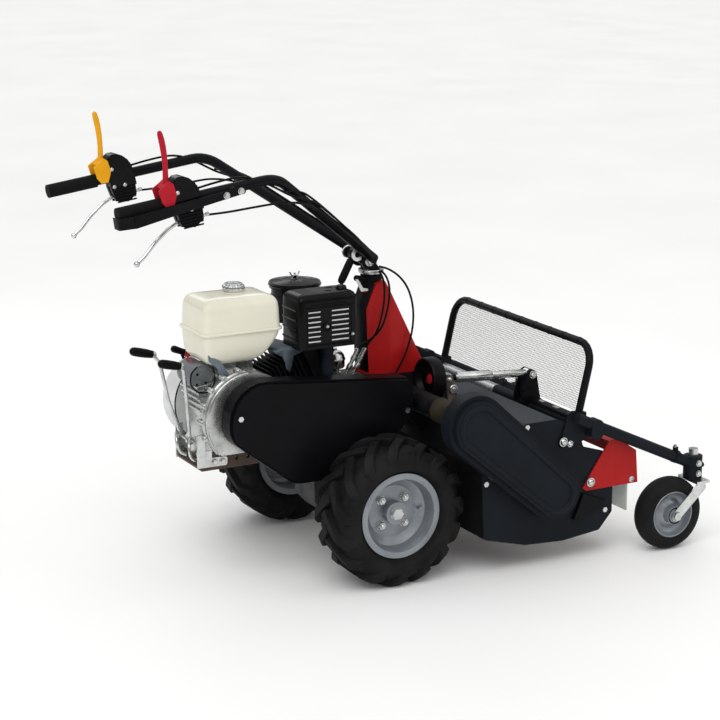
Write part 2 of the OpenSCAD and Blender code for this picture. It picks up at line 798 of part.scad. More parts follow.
module fuel_cap() color("silver") translate([cap_x, cap_y, tank_z0 + tank_h + gap]) {
    cylinder(r = cap_r, h = cap_shares[0] * cap_h);
    cylinder(r = cap_shares[1] * cap_r, h = cap_h);
}

module muffler() color("#3a3835") {
    lo = [muffler_x0, muffler_y0, muffler_z0] + muffler_in * [1, 1, 1];
    hi = [muffler_x0 + muffler_len, muffler_y0 + muffler_deep, muffler_z0 + muffler_h] - muffler_in * [1, 1, 1];
    box(lo, hi);
    bar_y([(lo.x + hi.x) / 2, (lo.z + hi.z) / 2], pipe_r / 2, muffler_y0 + cover_wall, lo.y + over);
    port = along(head_d + head_len / 2, cylinder_high / 2);
    translate([port.x, cylinder_y - port_off, port.y - pipe_r]) difference() {
        cylinder(r = pipe_r, h = lo.z - port.y + pipe_r + over);
        rotate([0, -cylinder_tilt, 0])
            translate([-cylinder_wide, -cylinder_wide, pipe_r * cos(cylinder_tilt) - cylinder_high])
                cube([2 * cylinder_wide, 2 * cylinder_wide, cylinder_high]);
    }
}

module muffler_cover() color(black) difference() {
    box([muffler_x0, muffler_y0, muffler_z0], [muffler_x0 + muffler_len, muffler_y0 + muffler_deep, muffler_z0 + muffler_h]);
    box([muffler_x0 + cover_wall, muffler_y0 + cover_wall, muffler_z0 - over],
        [muffler_x0 + muffler_len - cover_wall, muffler_y0 + muffler_deep - cover_wall, muffler_z0 + muffler_h - cover_wall]);
    for (i = [0:slot_rows - 1], x = slot_shares)
        box([muffler_x0 + x * muffler_len, muffler_y0 - over, muffler_z0 + muffler_h * (slot_z_share + slot_pitch_share * i)],
            [muffler_x0 + (x + slot_len_share) * muffler_len, muffler_y0 + cover_wall + over,
                muffler_z0 + muffler_h * (slot_z_share + slot_pitch_share * i) + slot_h]);
}

module air_cleaner() color(black) {
    translate([cleaner_x, cleaner_y, cleaner_z0]) {
        cylinder(r = cleaner_share * cleaner_r, h = cleaner_top - cleaner_z0 - cleaner_lid_h);
        translate([0, 0, cleaner_top - cleaner_z0 - cleaner_lid_h]) cylinder(r = cleaner_r, h = cleaner_lid_h);
        cylinder(r = stem_r, h = cleaner_top - cleaner_z0 + cleaner_lid_h);
    }
    box([cleaner_x - carb_w / 2, cylinder_y + cylinder_wide / 2, cleaner_z0 - carb_h],
        [cleaner_x + carb_w / 2, cleaner_y, cleaner_z0]);
}

// Main belt drive
function cover_outline(inset) = rounded(place(cover_shares, cover_x0 + inset, cover_z0 + inset,
    cover_len - 2 * inset, cover_h - 2 * inset), [for (r = cover_rounds) r - inset]);

module main_belt_cover() color(black) difference() {
    union() {
        slab_y(cover_outline(0), cover_y0 + case_step, cover_y1);
        slab_y(cover_outline(case_step / 2), cover_y0, cover_y0 + case_step);
    }
    slab_y(cover_outline(case_step / 2 + cover_wall), cover_y0 + cover_wall, cover_y1 + over);
    for (p = cover_bolts) bar_y(p, bolt_r + run, cover_y0 - over, cover_y1);
}

module grooved_pulley(p, r, y, w) difference() {
    bar_y(p, r + flange_share * belt_t, y - w / 2, y + w / 2);
    difference() {
        bar_y(p, r + belt_t, y - belt_w / 2 - run * 2, y + belt_w / 2 + run * 2);
        bar_y(p, r - run, y - belt_w, y + belt_w);
    }
}

module engine_pulley() color(steel) {
    grooved_pulley(crank, engine_pulley_r, pulley_y, pulley_w);
    bar_y(crank, crank_r, pulley_y - pulley_w / 2, case_far - tyre_wall - over);
}

module gearbox_pulley() color(steel) {
    grooved_pulley([input_x, input_z], gear_pulley_r, pulley_y, pulley_w);
    bar_y([input_x, input_z], input_r, pulley_y - pulley_w / 2, -gear_half - over);
}

module belt_loop(c1, r1, c2, r2, y) difference() {
    slab_y(loop(c1, r1 + belt_t, c2, r2 + belt_t), y - belt_w / 2, y + belt_w / 2);
    slab_y(loop(c1, r1 + run, c2, r2 + run), y - belt_w, y + belt_w);
}

module drive_belt() color("#141414") belt_loop(crank, engine_pulley_r, [input_x, input_z], gear_pulley_r, pulley_y);

// Column, head and handlebars
module column() color(red) difference() {
    outline = place(column_shares, column_x0, column_z, column_len, column_h);
    fold = [fold_share * column_len + column_x0, column_wide / 2];
    union() {
        difference() {
            column_form(outline, fold, 0);
            column_form(inset(outline, column_wall), fold - [0, column_wall], over);
        }
        box([column_x0 - plate_t, -fold.y, gear_top], [column_x0 + column_len, fold.y, column_z]);
        translate([swivel_axis_x, 0, collar_top - swivel_pin_h - column_wall])
            cylinder(r = collar_r, h = swivel_pin_h + column_wall);
    }
    translate([swivel_axis_x, 0, collar_top - swivel_pin_h]) cylinder(r = swivel_pin_r + run, h = swivel_pin_h + over);
}
module column_form(outline, fold, down) intersection() {
    slab_y(outline, -fold.y, fold.y);
    translate([0, 0, column_z - down]) linear_extrude(column_h + collar_top)
        polygon([[-column_len, fold.y - fold_in], [column_x0, fold.y - fold_in], fold, [2 * column_len, fold.y],
            [2 * column_len, -fold.y], [fold.x, -fold.y], [column_x0, fold_in - fold.y], [-column_len, fold_in - fold.y]]);
}

module handlebar_head() color(anthracite) {
    disc_top = collar_top + gap + head_t;
    translate([swivel_axis_x, 0, collar_top + gap]) cylinder(r = head_r, h = head_t);
    translate([swivel_axis_x, 0, collar_top - swivel_pin_h + over])
        cylinder(r = swivel_pin_r, h = swivel_pin_h + head_t - over);
    for (s = [-1, 1]) on_side(s) {
        slab_y(loop(bar_pivot, yoke_r - yoke_t, clamp_pin, clamp_r + yoke_t), cheek_y, cheek_y + cheek_t);
        slab_y([bar_pivot - [yoke_r - yoke_t, 0], [swivel_axis_x - head_r / 2, disc_top - over],
            [swivel_axis_x + head_r / 2, disc_top - over], bar_pivot + [yoke_r - yoke_t, 0]], cheek_y, cheek_y + cheek_t);
    }
    bar_y(bar_pivot, bar_pivot_r, -yoke_y - yoke_t, yoke_y + yoke_t);
    bar_y(clamp_pin, clamp_pin_r, -cheek_y - over, cheek_y + over);
}

module clamp_lever() color(black) difference() {
    union() {
        bar_y(clamp_pin, clamp_r + yoke_t, clamp_y - clamp_r, clamp_y + clamp_r);
        tip = clamp_pin + clamp_len * [-sin(clamp_lean), -cos(clamp_lean)];
        rod([clamp_pin.x, clamp_y, clamp_pin.y], [tip.x, clamp_y, tip.y], clamp_r - over);
        translate([tip.x, clamp_y, tip.y]) sphere(r = clamp_r);
    }
    bar_y(clamp_pin, clamp_pin_r + run, clamp_y - 2 * clamp_r, clamp_y + 2 * clamp_r);
}

module on_bar(side) translate([bend_x, side * bar_y, bend_z]) rotate([0, -bar_drop, 0]) children();

module handlebar(side, back) color(black) {
    rear = on_tube(-back, 0);
    difference() {
        union() {
            tube(bent([[bar_foot.x, side * bar_foot_y, bar_foot.y], [bend_x, side * bar_y, bend_z],
                [rear.x, side * bar_y, rear.y]], bar_bend_r), bar_r, 16);
            on_side(side) slab_y(loop(bar_pivot, yoke_r, bar_foot, bar_r), yoke_y, yoke_y + yoke_t);
        }
        on_side(side) bar_y(bar_pivot, bar_pivot_r + run, 0, yoke_y + yoke_t + over);
    }
}
module handlebar_left() handlebar(1, bar_back);
module handlebar_right() {
    handlebar(-1, bar_back - bar_short);
    color(black) on_bar(-1) {
        bar_y(stop_pin, stop_pin_r, -stop_off - stop_head_t, 0);
        bar_y(stop_pin, stop_head_r, -stop_off - stop_head_t, -stop_off - gap);
    }
}

module grips() color("#1c1c1d") for (s = [-1, 1]) on_bar(s) {
    back = s > 0 ? bar_back : bar_back - bar_short;
    translate([-back - grip_gap - cover_wall, 0, 0]) rotate([0, 90, 0]) difference() {
        cylinder(r = grip_r, h = s > 0 ? grip_len : grip_len - bar_short);
        translate([0, 0, cover_wall]) cylinder(r = bar_r + grip_gap, h = grip_len);
    }
}

module control_housings() color(black) for (s = [-1, 1]) on_bar(s) {
    difference() {
        union() {
            slab_y(place(housing_shares, housing_x0, housing_z0, housing_len, housing_h), -housing_half, housing_half);
            for (e = [-1, 1]) on_side(e)
                slab_y(loop([housing_x0 + lever_pin_r, lever_z], ear_r, [lever_x, lever_z], ear_r, 8), ear_y, ear_y + ear_t);
        }
        translate([housing_x0 - lever_foot, 0, 0]) rotate([0, 90, 0]) cylinder(r = bar_r + grip_gap, h = 2 * housing_len);
        box([housing_x0 - over, -slot_half, housing_z0 - over], [brake_pin.x + lever_foot, slot_half, -grip_r]);
    }
    bar_y([lever_x, lever_z], lever_pin_r, -ear_y - over, ear_y + over);
    bar_y(brake_pin, brake_pin_r, -slot_half - over, slot_half + over);
}

module upright_lever(side, tone) color(tone) on_bar(side) difference() {
    union() {
        bar_y([lever_x, lever_z], lever_foot / 2, -lever_t / 2, lever_t / 2);
        slab_y([[lever_x + lever_foot / 2, lever_z], [lever_x + lever_tip_w / 2, lever_z + lever_h],
            [lever_x - lever_tip_w / 2, lever_z + lever_h], [lever_x - lever_foot / 2, lever_z]], -lever_t / 2, lever_t / 2);
        bar_y([lever_x, lever_z + lever_h], lever_tip_w / 2, -lever_t / 2, lever_t / 2);
    }
    bar_y([lever_x, lever_z], lever_pin_r + run, -lever_t, lever_t);
}
module clutch_lever() upright_lever(1, "#e9a91f");
module drive_lever() upright_lever(-1, "#b3202e");

module brake_lever(side) color(steel) on_bar(side) {
    route = [for (p = brake_route_shares)
        [brake_pin.x - p[0] * brake_reach, 0, brake_pin.y - p[1] * brake_fall]];
    difference() {
        union() {
            tube(route, brake_r);
            bar_y(brake_pin, brake_eye_r, -brake_r, brake_r);
            translate(route[len(route) - 1]) sphere(r = brake_ball_r);
        }
        bar_y(brake_pin, brake_pin_r + run, -slot_half, slot_half);
    }
}
module brake_lever_left() brake_lever(1);
module brake_lever_right() brake_lever(-1);

module stop_lever() color(steel) on_bar(-1) difference() {
    translate([0, 0, -stop_h / 2]) linear_extrude(stop_h) polygon(strip([[-stop_front, -stop_off],
        [-stop_reach + stop_hook, -stop_off], [-stop_reach, -stop_off + stop_hook]], -stop_t));
    bar_y(stop_pin, stop_pin_r + run, -2 * stop_off, 0);
}

module bar_cables() color("#101011") for (s = [-1, 1], route = bar_routes)
    tube([for (p = route) [p.x, s * p.y, p.z]], cable_r, 8);

module control_cables() {
    color("#101011") for (route = control_routes) tube(route, cable_r, 8, [1, 1, 0]);
    color(zinc) for (b = barrels) rod(b[0], b[1], barrel_r);
}

// Control levers on the frame
module lever_bracket() color(zinc) {
    for (y = [-rail_y - rail_t - bracket_sheet, lever_plate_y]) {
        low = y < 0 ? base_z + bracket_sheet : base_z;
        box([gear_pin.x - lever_plate_back, y, low],
            [gear_pin.x + lever_plate_neck, y + bracket_sheet, gear_pin.y + lever_plate_up]);
        box([gear_pin.x - lever_plate_back, y, low],
            [gear_pin.x + lever_plate_ahead, y + bracket_sheet, gear_pin.y - lever_plate_step]);
    }
    bar_y(gear_pin, gear_pin_r, -rail_y - rail_t - over, lever_plate_y + over);
}

module gear_lever(y, route, knob) color(black) {
    start = gear_pin + unit(route[0] - gear_pin) * (eye_r - over);
    difference() {
        union() {
            bar_y(gear_pin, eye_r, y - eye_r / 2, y + eye_r / 2);
            tube([for (p = concat([start], route)) [p[0], y, p[1]]], gear_rod_r);
        }
        bar_y(gear_pin, gear_pin_r + run, y - eye_r, y + eye_r);
    }
    from = route[len(route) - 1];
    capsule([from.x, y, from.y], [knob.x, y, knob.y], knob_r);
}
module gear_lever_near() gear_lever(near_lever_y, near_route, near_knob);
module gear_lever_far() gear_lever(far_lever_y, far_route, far_knob);

// Flail deck
// A point on the rear slope of the deck's hood
function on_slope(share, deep = 0) = let (
    p = place([hood_shares[1], hood_shares[2]], deck_x0, deck_z0, deck_len, deck_h),
    d = unit(p[1] - p[0]))
    p[0] + share * (p[1] - p[0]) + deep * [d.y, -d.x];

module deck_hood() color("#55585e") {
    slab_y(strip(place(hood_shares, deck_x0, deck_z0, deck_len, deck_h), -sheet), sheet - deck_half, deck_half - sheet);
    for (s = [-1, 1]) {
        y = link_y + s * (clevis_half + gap + strap_t / 2);
        difference() {
            union() {
                slab_y([on_slope(strap_shares[0], sheet / 2), on_slope(strap_shares[1], sheet / 2), link_rear + [strap_w / 2, 0],
                    link_rear - [strap_w / 2, 0]], y - strap_t / 2, y + strap_t / 2);
                bar_y(link_rear, strap_w / 2, y - strap_t / 2, y + strap_t / 2);
            }
            bar_y(link_rear, trunnion_r + run, y - strap_t, y + strap_t);
        }
    }
}

module deck_sides() color(anthracite) {
    for (s = [-1, 1]) on_side(s) {
        difference() {
            union() {
                slab_y(rounded(place(side_shares, deck_x0, deck_z0, deck_len, deck_h), [side_round]), deck_half - sheet, deck_half);
                bar_y(rotor_axis, bearing_r, deck_half - sheet - bearing_t, deck_half - sheet);
            }
            bar_y(rotor_axis, rotor_shaft_r + run, deck_half - sheet - bearing_t - over, deck_half + over);
        }
        bar_y([pivot_x, pivot_z], pivot_pin_r, deck_half - over, deck_half + hood_gap + pivot_plate_t + over);
        bar_y(hood_pin, hood_pin_r, deck_half - over, deck_half + hood_gap + sheet + hood_head_t);
        bar_y(hood_pin, hood_head_r, deck_half + hood_gap + sheet + gap, deck_half + hood_gap + sheet + hood_head_t);
    }
    difference() {
        slab_y(case_outline(0), case_y0, -deck_half);
        bar_y(rotor_axis, rotor_shaft_r + run, case_y0 - over, over - deck_half);
        bar_y(cross_shaft, cross_shaft_r + run, case_y0 - over, over - deck_half);
    }
}
function case_outline(in) = loop(cross_shaft, case_upper_r - in, rotor_axis, case_lower_r - in);

module deck_belt_cover() color(black) {
    face = case_y0 - case_deep;
    difference() {
        union() {
            slab_y(case_outline(0), face + case_step, case_y0);
            slab_y(case_outline(case_step), face, face + case_step);
        }
        slab_y(case_outline(cover_wall), face + case_step + cover_wall, case_y0 + over);
        slab_y(case_outline(case_step + cover_wall), face + cover_wall, case_y0);
    }
}

module deck_drive_pulley() color(steel) {
    grooved_pulley(cross_shaft, upper_pulley_r, deck_pulley_y, deck_pulley_w);
    bar_y(cross_shaft, cross_shaft_r, deck_pulley_y - deck_pulley_w / 2, over - deck_gear_half + casting_round);
}

module deck_belt() color("#141414") belt_loop(cross_shaft, upper_pulley_r, rotor_axis, lower_pulley_r, deck_pulley_y);

function flail_at(row) = rotor_axis + [row * flail_pivot, 0];
function flail_y(row, i) = (i + 1 / 2 - flails / 2) * flail_pitch + row * flail_pitch / 4;

module rotor() color("#4c4a47") {
    bar_y(rotor_axis, rotor_r, -rotor_end, rotor_end);
    bar_y(rotor_axis, rotor_shaft_r, -rotor_end - over, deck_half - sheet - over);
    bar_y(rotor_axis, rotor_shaft_r, deck_pulley_y - deck_pulley_w / 2, over - rotor_end);
    grooved_pulley(rotor_axis, lower_pulley_r, deck_pulley_y, deck_pulley_w);
    for (row = [-1, 1], i = [0:flails - 1], e = [-1, 1]) {
        y = flail_y(row, i) + e * (flail_w + lug_plate_t + 2 * gap) / 2;
        difference() {
            slab_y(loop(rotor_axis + [row * (rotor_r - lug_plate_t), 0], lug_plate_r, flail_at(row), lug_plate_r, 8),
                y - lug_plate_t / 2, y + lug_plate_t / 2);
            bar_y(flail_at(row), flail_rod_r + run, y - lug_plate_t, y + lug_plate_t);
        }
    }
}

module flail_row(row) color("#6e6a64") {
    p = flail_at(row);
    bar_y(p, flail_rod_r, -rotor_end + lug_plate_t, rotor_end - lug_plate_t);
    for (i = [0:flails - 1]) {
        y = flail_y(row, i);
        bar_y(p, eye_r, y - flail_w / 2, y + flail_w / 2);
        slab_y([p + [-flail_t / 2, 0], p + [-flail_t / 2, eye_r - flail_len], p + [flail_t / 2, eye_r + flail_t - flail_len],
            p + [flail_t / 2, 0]], y - flail_w / 2, y + flail_w / 2);
    }
}
module flail_row_a() flail_row(1);
module flail_row_b() flail_row(-1);

module deck_gearbox() color("#55504a") difference() {
    union() {
        box([deck_gear_x0, -deck_gear_half, deck_gear_z0], [deck_gear_x1, deck_gear_half, deck_gear_z1]);
        bar_y(cross_shaft, cross_tube_r, -deck_half, over - deck_gear_half);
        for (s = [-1, 1]) on_side(s) slab_y([[deck_gear_x1 - deck_gear_half, deck_gear_z0 + over],
            [deck_gear_x1 - deck_gear_half, cross_z], [deck_gear_x1, cross_z],
            on_slope(foot_shares[1]), on_slope(foot_shares[0])],
            deck_gear_half - casting_round, deck_gear_half - casting_round + rail_t);
    }
    bar_y(cross_shaft, cross_shaft_r + run, -deck_half - over, casting_round + 2 * over - deck_gear_half);
}

module front_hood() color(red) {
    outline = place(hood_shares_red, hood_x0, hood_z0, hood_len, hood_h);
    y0 = deck_half + hood_gap;
    for (s = [-1, 1]) on_side(s) difference() {
        slab_y(outline, y0, y0 + sheet);
        bar_y(hood_pin, hood_pin_r + run, y0 - over, y0 + sheet + over);
        bar_y(curtain_pin, curtain_pin_r + run, y0 - over, y0 + sheet + over);
    }
    slab_y(strip([outline[1], outline[2], outline[3], outline[3] + front_share * (outline[4] - outline[3])], -sheet), -y0, y0);
}

module front_curtain() color("#c9cfcb") {
    bar_y(curtain_pin, curtain_pin_r, -deck_half - hood_gap - sheet, deck_half + hood_gap + sheet);
    box([curtain_pin.x - curtain_t / 2, -curtain_half, curtain_pin.y - curtain_h],
        [curtain_pin.x + curtain_t / 2, curtain_half, curtain_pin.y]);
}

// Gauge frame, guard, link and gauge wheels
module gauge_cross_bar() color(anthracite) {
    bar_y(cross_bar, arm_r, -bar_half, bar_half);
    for (s = [-1, 1]) {
        y0 = deck_half + hood_gap;
        on_side(s) difference() {
            union() {
                slab_y(loop([pivot_x, pivot_z], pivot_plate_r, cross_bar, arm_r + over, 12), y0, y0 + pivot_plate_t);
                slab_y(loop([pivot_x, pivot_z], pivot_plate_r, arm_rear, arm_r, 12), y0, y0 + pivot_plate_t);
                slab_y([[pivot_x, pivot_z], cross_bar, arm_over, arm_rear], y0, y0 + pivot_plate_t);
            }
            bar_y([pivot_x, pivot_z], pivot_pin_r + run, y0 - over, y0 + pivot_plate_t + over);
        }
        y = bracket_y + s * (bracket_gap + bracket_t / 2);
        slab_y(loop(cross_bar, arm_r + over, bracket_pin, bracket_r, 12), y - bracket_t / 2, y + bracket_t / 2);
    }
    bar_y(bracket_pin, link_pin_r, bracket_y - bracket_gap - over, bracket_y + bracket_gap + over);
}

module gauge_arm(side) color(anthracite) on_side(side) difference() {
    union() {
        rod([arm_rear.x, arm_y, arm_rear.y], [arm_end.x, arm_y, arm_end.y], arm_r);
        slab_y(loop(cross_bar, saddle_r, arm_over, saddle_r, 12), bar_half, arm_y + arm_r);
        translate([swivel_x, arm_y, swivel_z - swivel_h / 2]) cylinder(r = swivel_r, h = swivel_h);
        rod([swivel_x + swivel_r - clamp_bolt_len, arm_y, swivel_z], [front_x, arm_y, swivel_z], clamp_bolt_r);
    }
    translate([swivel_x, arm_y, swivel_z - swivel_h]) cylinder(r = swivel_shaft_r + run, h = 2 * swivel_h);
}
module gauge_arm_left() gauge_arm(1);
module gauge_arm_right() gauge_arm(-1);

function guard_point(y, h) = [cross_bar_x + h * sin(guard_lean), y, cross_bar_z + h * cos(guard_lean)];

module guard_frame() color(anthracite) tube(bent([guard_point(-guard_y, arm_r + gap), guard_point(-guard_y, guard_top),
    guard_point(guard_y, guard_top), guard_point(guard_y, arm_r + gap)], guard_round), guard_tube_r, 12, [1, 0, 0]);

module guard_mesh() color(anthracite) translate([cross_bar_x, 0, cross_bar_z]) rotate([0, guard_lean, 0])
    rotate([90, 0, 90]) translate([0, 0, -mesh_t / 2]) linear_extrude(mesh_t) difference() {
        half = guard_y - guard_tube_r - gap;
        low = arm_r + guard_foot_h;
        top = guard_top - guard_tube_r - gap;
        across = (2 * half - mesh_wire) / mesh_across;
        up = (top - low - mesh_wire) / mesh_up;
        turn = guard_round - guard_tube_r;
        polygon(rounded([[-half, low], [half, low], [half, top], [-half, top]], [0, 0, turn, turn]));
        for (i = [0:mesh_across - 1], k = [0:mesh_up - 1])
            if (k < mesh_up - 2 || (i > 1 && i < mesh_across - 2))
                translate([-half + mesh_wire + i * across, low + mesh_wire + k * up]) square([across - mesh_wire, up - mesh_wire]);
        translate([bracket_y - notch_half, low - over]) square([notch_half * 2, notch_h]);
    }

module on_link() translate([link_rear.x, link_y, link_rear.y]) rotate([0, link_tilt, 0]) children();
module rod_x(r, x0, x1) translate([x0, 0, 0]) rotate([0, 90, 0]) cylinder(r = r, h = x1 - x0);

module link_clevis() color(zinc) on_link() difference() {
    union() {
        box([-clevis_len / 2, -clevis_half, -clevis_half], [clevis_len / 2, clevis_half, clevis_half]);
        bar_y([0, 0], trunnion_r, -clevis_half - strap_t, clevis_half + strap_t);
    }
    rod_x(spindle_r + run, -clevis_len, clevis_len);
}

module link_tube() color(zinc) on_link() difference() {
    union() {
        rod_x(link_r, clevis_len / 2 + link_end_gap, link_len);
        bar_y([link_len, 0], bracket_r, -link_r, link_r);
    }
    rod_x(spindle_r + run, 0, link_bore_share * link_len);
    bar_y([link_len, 0], link_pin_r + link_play, -2 * link_r, 2 * link_r);
}

module handwheel() color(black) on_link() {
    r = handwheel_d / 2;
    rod_x(spindle_r, -handwheel_back, link_bore_share * link_len - link_end_gap);
    translate([-handwheel_back, 0, 0]) rotate([0, 90, 0]) {
        rotate_extrude() polygon([[0, -handwheel_t / 2], [handwheel_cap_r, -handwheel_t / 2],
            [handwheel_cap_r + over, -handwheel_rib], [r - 2 * handwheel_rib, -handwheel_rib], [r - handwheel_rib, -handwheel_t / 2],
            [r, -handwheel_rib], [r, handwheel_rib], [r - handwheel_rib, handwheel_t / 2],
            [r - 2 * handwheel_rib, handwheel_rib], [handwheel_cap_r + over, handwheel_rib],
            [handwheel_cap_r, handwheel_t / 2], [0, handwheel_t / 2]]);
    }
}

module caster_fork(side) color(zinc) on_side(side) translate([0, arm_y, 0]) {
    crown_top = fork_crown_z + fork_crown_t;
    outer = fork_half + fork_t;
    housing_top = swivel_z + swivel_h / 2;
    box([swivel_x - crown_back, -outer, fork_crown_z], [swivel_x + crown_front, outer, crown_top]);
    for (s = [-1, 1]) on_side(s) slab_y(loop([swivel_x, crown_top - fork_w / 2], fork_w / 2, wheel_at, fork_w / 2, 12), fork_half, outer);
    bar_y(wheel_at, caster_axle_r, -outer, outer);
    for (s = [-1, 1]) on_side(s) hex_y(wheel_at, caster_bolt_r, outer, outer + caster_bolt_h);
    translate([swivel_x, 0, crown_top - over]) cylinder(r = swivel_shaft_r, h = housing_top + swivel_top_nut_h - crown_top);
    translate([swivel_x, 0, housing_top + gap]) cylinder(r = swivel_top_nut_r, h = swivel_top_nut_h, $fn = 6);
}
module caster_fork_left() caster_fork(1);
module caster_fork_right() caster_fork(-1);

module caster_wheel(side) color("#1b1b1c") on_side(side) translate([wheel_at.x, arm_y, wheel_at.y]) rotate([90, 0, 0])
    rotate_extrude() polygon(concat([[caster_axle_r + run, -hub_half], [caster_hub_r, -hub_half], [caster_hub_r, -web_half],
        [caster_rim_r, -web_half]], rounded([[caster_rim_r + over, -caster_w / 2], [caster_r, -caster_w / 2],
        [caster_r, caster_w / 2], [caster_rim_r + over, caster_w / 2]], [0, tread_round, tread_round, 0]),
        [[caster_rim_r, web_half], [caster_hub_r, web_half], [caster_hub_r, hub_half], [caster_axle_r + run, hub_half]]));
module caster_wheel_left() caster_wheel(1);
module caster_wheel_right() caster_wheel(-1);

module bolts() color(zinc) {
    for (p = cover_bolts) {
        hex_y(p, bolt_head_r, cover_y0 - bolt_head_h, cover_y0);
        bar_y(p, bolt_r, cover_y0 - over, cover_y0 + cover_wall);
    }
    for (p = place(deck_bolt_shares, deck_x0, deck_z0, deck_len, deck_h), s = [-1, 1]) on_side(s) hex_y(p, bolt_head_r, deck_half, deck_half + bolt_head_h);
}

module placed() translate([-mid_x, 0, 0]) children();

placed() gearbox_housing();
placed() engine_frame();
placed() crankcase();
placed() engine_cylinder();
placed() recoil_cover();
placed() fuel_tank();
placed() muffler();
placed() muffler_cover();
placed() air_cleaner();
placed() main_belt_cover();
placed() drive_belt();
placed() column();
placed() control_cables();
placed() lever_bracket();
placed() deck_hood();
placed() deck_sides();
placed() deck_belt_cover();
placed() deck_belt();
placed() deck_gearbox();
placed() bolts();
placed() tyre_left();
placed() tyre_right();
placed() rim_left();
placed() rim_right();
placed() engine_pulley();
placed() gearbox_pulley();
placed() deck_drive_pulley();
placed() rotor();
placed() flail_row_a();
placed() flail_row_b();
placed() front_hood();
placed() front_curtain();
placed() gauge_cross_bar();
placed() gauge_arm_left();
placed() gauge_arm_right();
placed() guard_frame();
placed() guard_mesh();
placed() link_clevis();
placed() link_tube();
placed() handwheel();
placed() caster_fork_left();
placed() caster_fork_right();
placed() caster_wheel_left();
placed() caster_wheel_right();
placed() handlebar_head();
placed() clamp_lever();
placed() handlebar_left();
placed() handlebar_right();
placed() grips();
placed() control_housings();
placed() bar_cables();
placed() clutch_lever();
placed() drive_lever();
placed() brake_lever_left();
placed() brake_lever_right();
placed() stop_lever();
placed() gear_lever_near();
placed() gear_lever_far();
placed() fuel_cap();
placed() recoil_grip();
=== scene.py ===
"""Walk-behind flail mower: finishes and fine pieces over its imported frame."""

import math

import bmesh
import bpy
from mathutils import Matrix, Vector


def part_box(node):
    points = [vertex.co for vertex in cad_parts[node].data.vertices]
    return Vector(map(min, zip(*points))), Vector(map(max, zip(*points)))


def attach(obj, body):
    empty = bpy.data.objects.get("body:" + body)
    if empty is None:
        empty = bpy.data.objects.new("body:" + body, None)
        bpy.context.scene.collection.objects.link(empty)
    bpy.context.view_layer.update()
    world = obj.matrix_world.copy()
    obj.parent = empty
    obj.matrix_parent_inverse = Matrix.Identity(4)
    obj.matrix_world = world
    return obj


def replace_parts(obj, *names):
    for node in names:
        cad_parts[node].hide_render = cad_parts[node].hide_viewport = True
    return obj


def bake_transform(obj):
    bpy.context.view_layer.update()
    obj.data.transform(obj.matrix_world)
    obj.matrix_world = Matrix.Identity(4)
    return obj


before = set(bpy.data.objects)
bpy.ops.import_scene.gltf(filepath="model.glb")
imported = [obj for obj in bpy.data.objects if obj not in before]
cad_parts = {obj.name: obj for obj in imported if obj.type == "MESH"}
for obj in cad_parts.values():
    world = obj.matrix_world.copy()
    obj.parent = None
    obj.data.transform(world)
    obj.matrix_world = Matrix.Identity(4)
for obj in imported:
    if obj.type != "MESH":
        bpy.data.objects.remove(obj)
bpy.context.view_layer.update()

bl_info = {
    "name": "Flail mower",
    "version": (1, 0, 0),
    "blender": (4, 5, 0),
    "location": "View3D > Sidebar > Mower",
    "description": "Finishes and fine pieces of a walk-behind flail mower",
    "category": "Object",
}

# The drive axle's place along the row frame. Every size below is in mm from the ground under the axle
AXLE = (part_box("tyre_left")[0][0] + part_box("tyre_left")[1][0]) / 2
MM = 0.001
# Half the width of the dark sheet of painted shade in the column's back, in mm
COLUMN_SHADE_HALF = 40
# Near face of the height link's strap, in mm
STRAP_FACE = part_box("link_clevis")[0][1] / MM
# Directions, and the two sides of the machine
UP, FAR, NEAR, AHEAD = (0, 0, 1), (0, 1, 0), (0, -1, 0), (1, 0, 0)
SIDES = ((1, "left"), (-1, "right"))
# Shared places in mm: (x, y, z), or (x, z) of a piece that lies across, or (x, y) of one that stands upright
CAMERA_AIM = (79.96, 0, 537.52)
FUEL_CAP = (-312, -8, 778)
AIR_CLEANER = (-78, 92)
EXHAUST = (-73, -94)
CRANK = (-334, 458)
LINK_PIN, LINK_FRONT = (286, -126, 489), (562, 471)
CROSS_BAR, GUARD_LEAN = (568, 378), math.radians(13)
CASTER_AXLE, CASTER_Y = (826, 105), 458
TRACK_TOP, TRACK_LOW = (177, 447), (432, 224)
CLAMP = (56, 846)
LEVER_PIN_X = -308
HUB_Z, RIM_FACE, NUT_CIRCLE = 200, 319, 50


def row(x, y, z):
    """A place in mm from the ground under the axle, as a point of the row frame in metres."""
    return Vector((x * MM + AXLE, y * MM, z * MM))


def linear(code):
    """An sRGB hex code as linear red, green, blue and alpha."""
    parts = [int(code[i:i + 2], 16) / 255 for i in (1, 3, 5)]
    return tuple(c / 12.92 if c <= 0.04045 else ((c + 0.055) / 1.055) ** 2.4 for c in parts) + (1.0,)


def facing(direction):
    """Turn of a camera or lamp that looks along a direction."""
    return direction.to_track_quat("-Z", "Y").to_euler()


